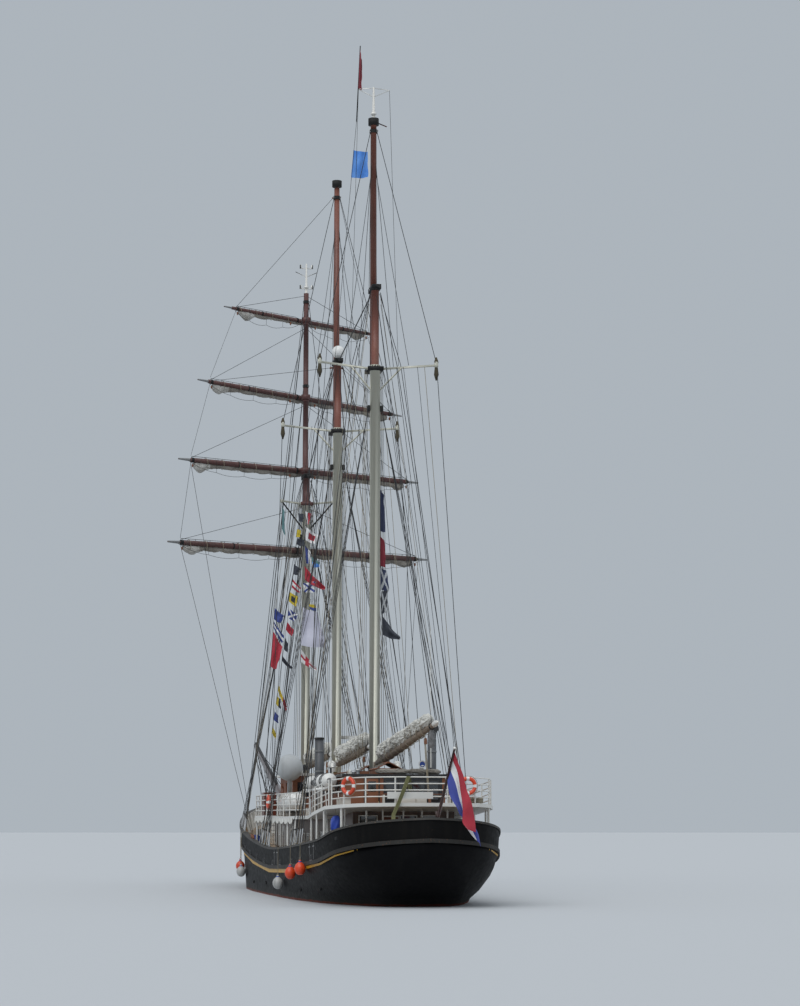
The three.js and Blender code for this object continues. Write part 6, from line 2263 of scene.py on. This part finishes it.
    def dress_fore_house(self) -> None:
        """Puts windows and a door on the fore deckhouse."""
        form = Form("fore_house_joinery", "ship", (WHITE, WINDOW_GLASS, VARNISH, BRONZE), "varnished_wood")
        joinery = Joinery(form)
        for side in SIDES:
            for x in (11.5, 12.2, 12.9):
                joinery.window((x, side * 1.81, 3.95), (0, side, 0), 0.44, 0.4)
        joinery.door((10.89, 0.7, deck(10.9) + 0.2), AFT, 0.7, 1.7)
        joinery.window((10.89, -0.6, 3.9), AFT, 0.6, 0.45)
        for y in (-0.9, 0.9):
            joinery.window((13.41, y, 4.0), AHEAD, 0.6, 0.42)
        form.place()


def cowl(form: Form, foot: Point, high: float, size: float, turn: float, finish: int, lining: int) -> None:
    """Adds a cowl ventilator.

    Args:
        form: The piece that gets it.
        foot: The middle of its foot.
        high: Its height up to the bend.
        size: The radius of its pipe.
        turn: The direction of its mouth, in degrees.
        finish: Its finish's number.
        lining: The number of the finish inside the mouth.
    """
    out = heading(math.radians(turn), 0.0)
    pipe = ((0.0, 0.0), (0.0, size * 1.3), (0.05, size * 1.3), (0.06, size), (high, size), (high, 0.0))
    form.turned(pipe, foot, finish=finish)
    neck = Vector(foot) + UP * high
    bend = [neck + UP * size * up + out * size * ahead for up, ahead in ((0.0, 0.0), (0.7, 0.25), (1.25, 0.9))]
    form.line(bend, size, 16, finish)
    mouth = ((-0.4, 0.0), (-0.4, 1.0), (0.5, 1.7), (0.6, 1.7), (0.55, 1.45), (0.1, 0.0))
    inside = ((0.12, 0.0), (0.5, 1.4), (0.52, 1.4), (0.2, 0.0))
    for profile, number in ((mouth, finish), (inside, lining)):
        form.turned([(size * ahead, size * radius) for ahead, radius in profile], bend[-1], out, 20, number)


# The decks


@dataclass
class Safety:
    """The lifebuoys, the liferafts' straps and seams, the tenders' lashings, and the stacks' fittings."""

    buoys: tuple = (((-24.35, 3.13, 5.37), (-0.62, 0.78, 0.0)), ((-25.13, -2.1, 5.37), (-1.0, 0.0, 0.0)),
                    ((0.2, 3.82, 4.9), (0.0, 1.0, 0.0)), ((0.2, -3.82, 4.9), (0.0, -1.0, 0.0)))
    rafts: tuple = (-16.4, -14.5, -10.6)

    def build(self) -> None:
        """Makes each in turn."""
        for k, (centre, normal) in enumerate(self.buoys):
            self.make_buoy(f"lifebuoy_{k + 1}", Vector(centre), Vector(normal).normalized())
        self.strap_rafts()
        self.lash_tenders()
        self.top_stacks()

    @staticmethod
    def make_buoy(name: str, centre: Vector, normal: Vector) -> None:
        """Makes a lifebuoy with four white bands and a grab line, standing on edge against the rail.

        Args:
            name: The piece's name.
            centre: Its middle.
            normal: The direction that it faces.
        """
        form = Form(name, "ship", (ORANGE, PLASTIC, HEMP))
        across = normal.cross(UP).normalized()
        middle, radius = centre + normal * 0.08, 0.335

        def around(angle: float, reach: float) -> Vector:
            return middle + (across * math.cos(angle) + UP * math.sin(angle)) * reach
        form.ring(middle, normal, radius, 0.088, 32)
        for k in range(4):
            start = math.radians(90 * k - 11)
            form.line([around(start + math.radians(22) * t / 4, radius) for t in range(5)], 0.093, 12, 1)
        turns = [math.tau * k / 32 for k in range(33)]
        form.line([around(a, 0.432 + 0.035 * abs(math.sin(2 * a))) for a in turns], 0.011, 5, 2)
        form.place()

    def strap_rafts(self) -> None:
        """Adds the seams, the straps and the end caps of the liferaft canisters."""
        form = Form("liferaft_fittings", "ship", (GREY, HEMP, BLACK), "white_plastic")
        for side in SIDES:
            for x in self.rafts:
                middle = Vector((x, side * RAFT_Y, RAFT_Z))
                for step, thick, finish in ((-0.33, 0.02, 2), (0.33, 0.02, 2), (0.0, 0.014, 0)):
                    form.ring(middle + AHEAD * step, AHEAD, 0.364, thick, 24, finish)
                for end in (AHEAD, AFT):
                    form.turned(((0.0, 0.0), (0.0, 0.14), (0.035, 0.12), (0.035, 0.0)), middle + end * 0.64, end)
                form.block(middle - UP * 0.39, (0.16, 0.5, 0.08), bevel=0.02, finish=2)
        form.place()

    @staticmethod
    def over(tree: BVHTree, x: float, y: float) -> Vector | None:
        """The top of a node at x and y, or nothing where the node isn't."""
        hit = tree.ray_cast(Vector((x, y, 9.0)) * SCALE, Vector((0, 0, -1)))[0]
        return hit / SCALE if hit else None

    def lash_tenders(self) -> None:
        """Lays lashings, a lacing and a rubbing rope over each covered tender."""
        form = Form("tender_lashings", "ship", (HEMP, GREY, GREY_COVER), "wire")
        for side, name in zip(SIDES, both("tender")):
            tree = surface(name)
            for x in (-3.8, -2.9, -2.0, -1.1, -0.2, 0.7):
                hits = [self.over(tree, x + 0.1 * math.sin(9 * y), side * (TENDER_Y + y / 10)) for y in range(-7, 8)]
                points = [hit + UP * 0.012 for hit in hits if hit]
                if len(points) > 3:
                    form.line(points, 0.016, 5)
            ridge = [self.over(tree, -4.6 + 0.33 * k, side * TENDER_Y) for k in range(20)]
            form.line([hit + UP * 0.01 for hit in ridge if hit], 0.02, 5, 1)
            for x in (-3.4, 0.2):
                form.block((x, side * TENDER_Y, 4.36), (0.12, 0.95, 0.16), bevel=0.02, finish=1)
        form.place()

    @staticmethod
    def top_stacks() -> None:
        """Puts caps on the two stacks, the starboard one turned aft, and the bands round them."""
        form = Form("stack_caps", "ship", (BLACK, GREY), "grey_iron")
        for side in SIDES:
            for height in (5.2, 6.3, 7.3):
                form.band((-12.4, side * 2.85, height), UP, 0.04, 0.245, 20, 1)
        form.turned(((0.0, 0.0), (0.0, 0.25), (0.08, 0.26), (0.1, 0.16), (0.02, 0.0)), (-12.4, 2.85, 7.88), sides=20)
        bend = ((-12.4, -2.85, 7.8), (-12.4, -2.85, 8.02), (-12.5, -2.86, 8.25), (-12.72, -2.88, 8.4),
                (-12.95, -2.9, 8.46))
        form.line(bend, 0.215, 18)
        form.place()


@dataclass
class SideDecks:
    """The thin posts, the awning's valance and the ladders along the upper deck's edge, and what stands under it."""

    def build(self) -> None:
        """Makes the posts and the valance on each side, then the drums, the bags and the hawser."""
        form = Form("side_posts", "ship", (WHITE, GREY), "white_paint")
        for side in SIDES:
            for x in (k * 0.82 - 9.0 for k in range(22)):
                edge = along_table(UPPER_EDGE, x)[1] - 0.1
                form.rod((x, side * edge, deck(x) + BULWARK_HIGH), (x, side * edge, upper(x) - 0.15), 0.02, sides=6)
            self.add_ladder(form, Vector((-19.6, side * 3.1, deck(-19.6))), upper(-19.6), side)
            self.add_ladder(form, Vector((9.7, side * 2.6, deck(9.7))), upper(9.5), side)
        form.place()
        for side, name in zip(SIDES, both("valance")):
            self.hang_valance(side, name)
        self.stow_gear()

    @staticmethod
    def add_ladder(form: Form, foot: Vector, top: float, side: int) -> None:
        """Adds a steep ladder with flat treads and handrails, up to the upper deck's edge.

        Args:
            form: The piece that gets it.
            foot: The middle of its foot.
            top: The height that it leads to.
            side: The ship's side.
        """
        rise = top - foot.z
        lean = Vector((rise * 0.42, 0, rise))
        for part in (-0.3, 0.3):
            start = foot + Vector((0, part, 0.02))
            form.rod(start, start + lean, 0.035)
            form.rod(start + UP * 0.85, start + lean + UP * 0.85, 0.018)
        steps = int(rise / 0.26)
        for k in range(1, steps):
            form.block(foot + lean * k / steps, (0.18, 0.58, 0.035), bevel=0.008, finish=1)

    @staticmethod
    def hang_valance(side: int, name: str) -> None:
        """Hangs a scalloped strip of canvas under the upper deck's edge.

        Args:
            side: The ship's side.
            name: The piece's name.
        """
        def corner(u: float, v: float) -> Vector:
            x = -9.2 + 17.6 * u
            edge = along_table(UPPER_EDGE, x)[1] + 0.03
            drop = 0.16 + 0.14 * abs(math.sin(u * math.pi * 24))
            swing = 0.03 * math.sin(u * 90.0) * v
            return Vector((x, side * (edge + swing), upper(x) - 0.10 - drop * v))
        form = Form(name, "ship", (COVER,), "canvas")
        form.sheet(corner, 240, 3)
        form.place(80.0, outward=False)

    @staticmethod
    def stow_gear() -> None:
        """Stows the drums on deck, the bag under the upper deck and the hawser over the aft rail."""
        form = Form("stowed_drums", "ship", (BLUE, BLACK))
        profile = ((0.0, 0.0), (0.0, 0.27), (0.28, 0.29), (0.30, 0.305), (0.32, 0.29), (0.6, 0.29), (0.62, 0.305),
                   (0.64, 0.29), (0.9, 0.28), (0.92, 0.24), (0.89, 0.0))
        for x, y in ((8.9, 3.5), (-17.2, 3.55), (-17.2, -3.55)):
            form.turned(profile, (x, y, deck(x) + 0.005), sides=24)
        form.place()
        bag = Form("hanging_bag", "ship", (SHOP_BLUE, HEMP), "canvas")
        centre = Vector((-22.4, 3.45, 3.66))

        def corner(u: float, v: float) -> Vector:
            angle = v * math.tau
            wide = 0.26 * math.sin(max(0.02, min(1.0, u)) * math.pi) ** 0.35 * (1 + 0.1 * math.sin(angle * 5 + u * 7))
            return centre + Vector((math.cos(angle) * wide * 0.8, math.sin(angle) * wide, 0.40 - 0.80 * u))
        bag.sheet(corner, 22, 28)
        bag.close(1e-3)
        bag.place(70.0)
        lines = Form("hawser_and_lashings", "ship", (HAWSER, HEMP), "wire")
        lines.line([(-22.4, 3.45, 4.03), (-22.4, 3.47, 4.2), (-22.4, 3.5, 4.36)], 0.015, 6, 1)
        hung = ((-25.05, 0.55, 5.76), (-25.32, 0.62, 5.78), (-25.4, 0.8, 5.3), (-25.42, 1.08, 4.6),
                (-25.6, 1.34, 4.1), (-26.0, 1.42, 3.78))
        for k in range(3):
            part = [(-25.02, 0.5, 5.2 - 0.2 * (k % 2)), *hung]
            lines.line([(x, y + 0.06 * (k - 1.0), z) for x, y, z in part], 0.03, 8)
        for turn in range(3):
            around = [heading(math.tau * k / 20, 0.0) * 0.34 for k in range(21)]
            lines.line([Vector((-24.4, -2.6, 4.66 + 0.07 * turn)) + out for out in around], 0.04, 8, 1)
        lines.place()


@dataclass
class DeckGear:
    """What stands on the upper deck, on the roofs and on the fore deck."""

    def build(self) -> None:
        """Makes each group in turn."""
        self.make_skylights()
        self.make_vents()
        self.make_seats()
        self.make_fore_deck()
        self.roll_awning()
        self.make_aerials()
        self.cover_boom_end()

    @staticmethod
    def make_skylights() -> None:
        """Makes the skylights and the companions on the trunk and the upper deck."""
        form = Form("skylights", "ship", (VARNISH, WINDOW_GLASS, BRONZE, WHITE), "varnished_wood")
        for x, y, foot, long, wide in ((-15.4, 0.0, TRUNK_TOP, 1.9, 1.3), (-9.6, 0.0, TRUNK_TOP, 1.4, 1.1),
                                       (-3.4, 0.0, upper(-3.4), 2.3, 1.5), (17.3, 0.0, deck(17.3), 1.7, 1.5)):
            form.block((x, y, foot + 0.16), (long, wide, 0.32), bevel=0.03)
            for side in SIDES:
                lean = Matrix.Rotation(-side * math.radians(28), 3, "X")
                middle = Vector((x, y + side * wide * 0.26, foot + 0.44))
                form.block(middle, (long + 0.08, wide * 0.6, 0.05), lean, 0.012)
                for k in range(3):
                    spot = middle + lean @ Vector(((k - 1) * long / 3.2, 0, 0.016))
                    form.block(spot, (long / 4.2, wide * 0.42, 0.035), lean, 0.008, 1)
                    for bar in (-1, 0, 1):
                        ends = [Vector((end, bar * wide * 0.11, 0.035)) for end in (-long / 9, long / 9)]
                        form.rod(spot + lean @ ends[0], spot + lean @ ends[1], 0.01, finish=2)
            form.block((x, y, foot + 0.58), (long + 0.1, 0.12, 0.06), bevel=0.015)
        for x, foot, turn in ((-6.5, upper(-6.5), 1), (9.0, upper(8.0) + 0.005, -1)):
            form.block((x, 0, foot + 0.55), (0.75, 0.85, 1.1), bevel=0.03)
            form.block((x, 0, foot + 1.13), (0.95, 0.98, 0.08), bevel=0.03)
            form.block((x + turn * 0.38, 0, foot + 0.5), (0.04, 0.62, 0.9), bevel=0.012)
            form.ball((x + turn * 0.42, 0.22, foot + 0.55), (0.03, 0.03, 0.03), 2, 8)
        form.place()

    @staticmethod
    def make_vents() -> None:
        """Makes the cowls and mushroom vents."""
        form = Form("ventilators", "ship", (WHITE, BLUE, GALVANISED), "white_paint")
        cowl(form, (-17.0, -1.5, TRUNK_TOP), 0.35, 0.11, 180, 0, 1)
        for x, y, foot, high, size in ((-9.0, 1.7, TRUNK_TOP, 0.5, 0.13), (-5.0, 1.6, upper(-5.0), 0.9, 0.16),
                                       (11.4, 1.2, FORE_HOUSE_TOP, 0.5, 0.13), (18.6, 1.4, deck(18.6), 0.8, 0.15)):
            for side in SIDES:
                cowl(form, (x, side * y, foot), high, size, 0, 0, 1)
        mushroom = ((0.0, 0.0), (0.0, 0.09), (0.2, 0.09), (0.2, 0.17), (0.25, 0.15), (0.29, 0.0))
        for x, y, foot in ((-16.9, 1.6, TRUNK_TOP), (-12.9, 1.2, TRUNK_TOP), (-12.9, -1.2, TRUNK_TOP),
                           (-1.0, 1.7, upper(-1.0)), (-1.0, -1.7, upper(-1.0)), (12.8, 0.0, FORE_HOUSE_TOP)):
            form.turned(mushroom, (x, y, foot), sides=18, finish=2)
        form.place()

    @staticmethod
    def make_seats() -> None:
        """Makes the slatted benches and the deck boxes on the upper deck."""
        form = Form("benches_and_boxes", "ship", (VARNISH, WHITE, GREY), "varnished_wood")
        for x, y, long, turned in ((-23.9, 0.0, 3.6, True), (-21.0, 2.9, 2.2, False), (-21.0, -2.9, 2.2, False),
                                   (-7.2, 2.6, 1.6, False), (-7.2, -2.6, 1.6, False)):
            floor = Vector((x, y, upper(x) + 0.005))

            def laid(along: float, across: float, up: float = 0.0) -> Vector:
                return Vector((across, along, up) if turned else (along, across, up))
            for k in range(5):
                form.block(floor + laid(0, (k - 2) * 0.085, 0.45), laid(long, 0.065, 0.03), bevel=0.008)
            for end in (-0.42, 0.0, 0.42):
                form.block(floor + laid(end * long, 0, 0.215), laid(0.06, 0.378, 0.43), bevel=0.012, finish=1)
        for x in (-22.6, 1.9):
            floor = Vector((x, 0, upper(x) + 0.005))
            form.block(floor + UP * 0.24, (0.7, 1.3, 0.48), bevel=0.03, finish=1)
            form.block(floor + UP * 0.5, (0.78, 1.38, 0.05), bevel=0.015)
        form.place()

    @staticmethod
    def make_fore_deck() -> None:
        """Makes the hatch, the chain, the stoppers, the bell and the deck winches."""
        form = Form("fore_deck_gear", "ship", (IRON, GREY, BRONZE, GREY_COVER, GALVANISED), "black_iron")
        links = 30
        drum = ((0.0, 0.0), (0.0, 0.2), (0.12, 0.16), (0.3, 0.13), (0.42, 0.2), (0.46, 0.2), (0.46, 0.0))
        winch = ((0.0, 0.0), (0.0, 0.15), (0.05, 0.15), (0.08, 0.09), (0.2, 0.085), (0.28, 0.12), (0.3, 0.0))
        bell = ((0.0, 0.0), (0.02, 0.09), (0.12, 0.1), (0.2, 0.13), (0.21, 0.13), (0.2, 0.11), (0.1, 0.0))
        for side in SIDES:
            start, end = Vector((20.1, side * 0.55, deck(20.1) + 0.30)), Vector((24.3, side * 0.9, deck(24.3) + 0.08))
            way = (end - start).normalized()
            for k in range(links):
                form.ring(start.lerp(end, (k + 0.5) / links), UP if k % 2 else way.cross(UP), 0.062, 0.02, 10, 4)
            form.turned(drum, (22.4, side * 1.15, deck(22.4)), sides=20, finish=1)
            for x, y, foot in ((-0.3, 1.3, upper(-0.3)), (13.0, 1.5, FORE_HOUSE_TOP), (-9.4, 1.6, TRUNK_TOP)):
                form.turned(winch, (x, side * y, foot), sides=18, finish=2)
        form.block((15.9, 0, deck(15.9) + 0.14), (0.9, 1.0, 0.28), bevel=0.05, finish=3)
        form.turned(bell, (13.55, 0, 4.55), (0, 0, -1), 18, 2)
        form.rod((13.4, 0, 4.62), (13.62, 0, 4.62), 0.03, sides=8)
        form.place()

    @staticmethod
    def roll_awning() -> None:
        """Lays a rolled awning on the trunk's aft edge."""
        start, end = Vector((-17.72, 0.9, TRUNK_TOP + 0.14)), Vector((-17.72, -2.3, TRUNK_TOP + 0.12))

        def corner(u: float, v: float) -> Vector:
            angle = v * math.tau
            tied = 1 - 0.16 * abs(math.cos(u * math.pi * 4)) ** 8
            size = 0.135 * tied * folds(u * 4, angle, 9.1) * min(1.0, 0.35 + u * 14, 0.35 + (1 - u) * 14)
            return start.lerp(end, u) + Vector((math.cos(angle) * size * 1.25, 0, math.sin(angle) * size))
        form = Form("rolled_awning", "ship", (OLD_CANVAS,), "canvas")
        form.sheet(corner, 90, 30)
        form.close()
        form.place(75.0)

    @staticmethod
    def make_aerials() -> None:
        """Makes the two whips aft and the small aerials by the wheelhouse."""
        form = Form("aerials", "ship", (WHITE, BLACK), "white_plastic")
        for side in SIDES:
            form.rod((-14.0, side * 2.5, TRUNK_TOP), (-14.0, side * 2.5, TRUNK_TOP + 0.4), 0.05, sides=10, finish=1)
            form.rod((-14.0, side * 2.5, TRUNK_TOP + 0.4), (-14.0, side * 2.5, 13.5), 0.028, 0.01, 8)
        for x, y, top in ((3.6, 1.8, 9.8), (3.6, -1.8, 9.2), (6.8, 0.0, 7.6)):
            form.rod((x, y, WHEELHOUSE_TOP), (x, y, WHEELHOUSE_TOP + 0.3), 0.035, sides=8, finish=1)
            form.rod((x, y, WHEELHOUSE_TOP + 0.3), (x, y, top), 0.016, 0.008, 6)
        form.place()

    @staticmethod
    def cover_boom_end() -> None:
        """Hangs a dark cover under the mizzen boom's end."""
        gear = spar_gear()[0]
        top = gear.spar.at(gear.length - 0.75, -gear.boom_radius * 0.9)

        def corner(u: float, v: float) -> Vector:
            angle = v * math.tau
            size = 0.17 * math.sin(max(0.03, min(0.97, u)) * math.pi) ** 0.3 * folds(u * 2, angle, 4.4)
            return top + Vector((math.cos(angle) * size, math.sin(angle) * size, -0.82 * u))
        form = Form("boom_end_cover", gear.body, (GREY_COVER, WHITE), "canvas")
        form.sheet(corner, 26, 24)
        form.close(1e-3)
        form.place(75.0)


def main() -> None:
    """Dresses the CAD nodes and builds every piece in order."""
    logging.basicConfig(level=logging.INFO, format="%(message)s")
    Studio().build()
    for coat in COATS:
        coat.apply(FRAME)
    hull = [Bulwark(1), Bulwark(-1), HullTrim()]
    flags = [Ensign(), Mastheads(), *FLAG_LINES]
    decks = [Houses(), Safety(), SideDecks(), DeckGear()]
    for part in (StandingRigging(), RunningRigging(), *spar_gear(), *hull, *flags, *decks):
        part.build()


if __name__ == "__main__":
    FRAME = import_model()
    main()
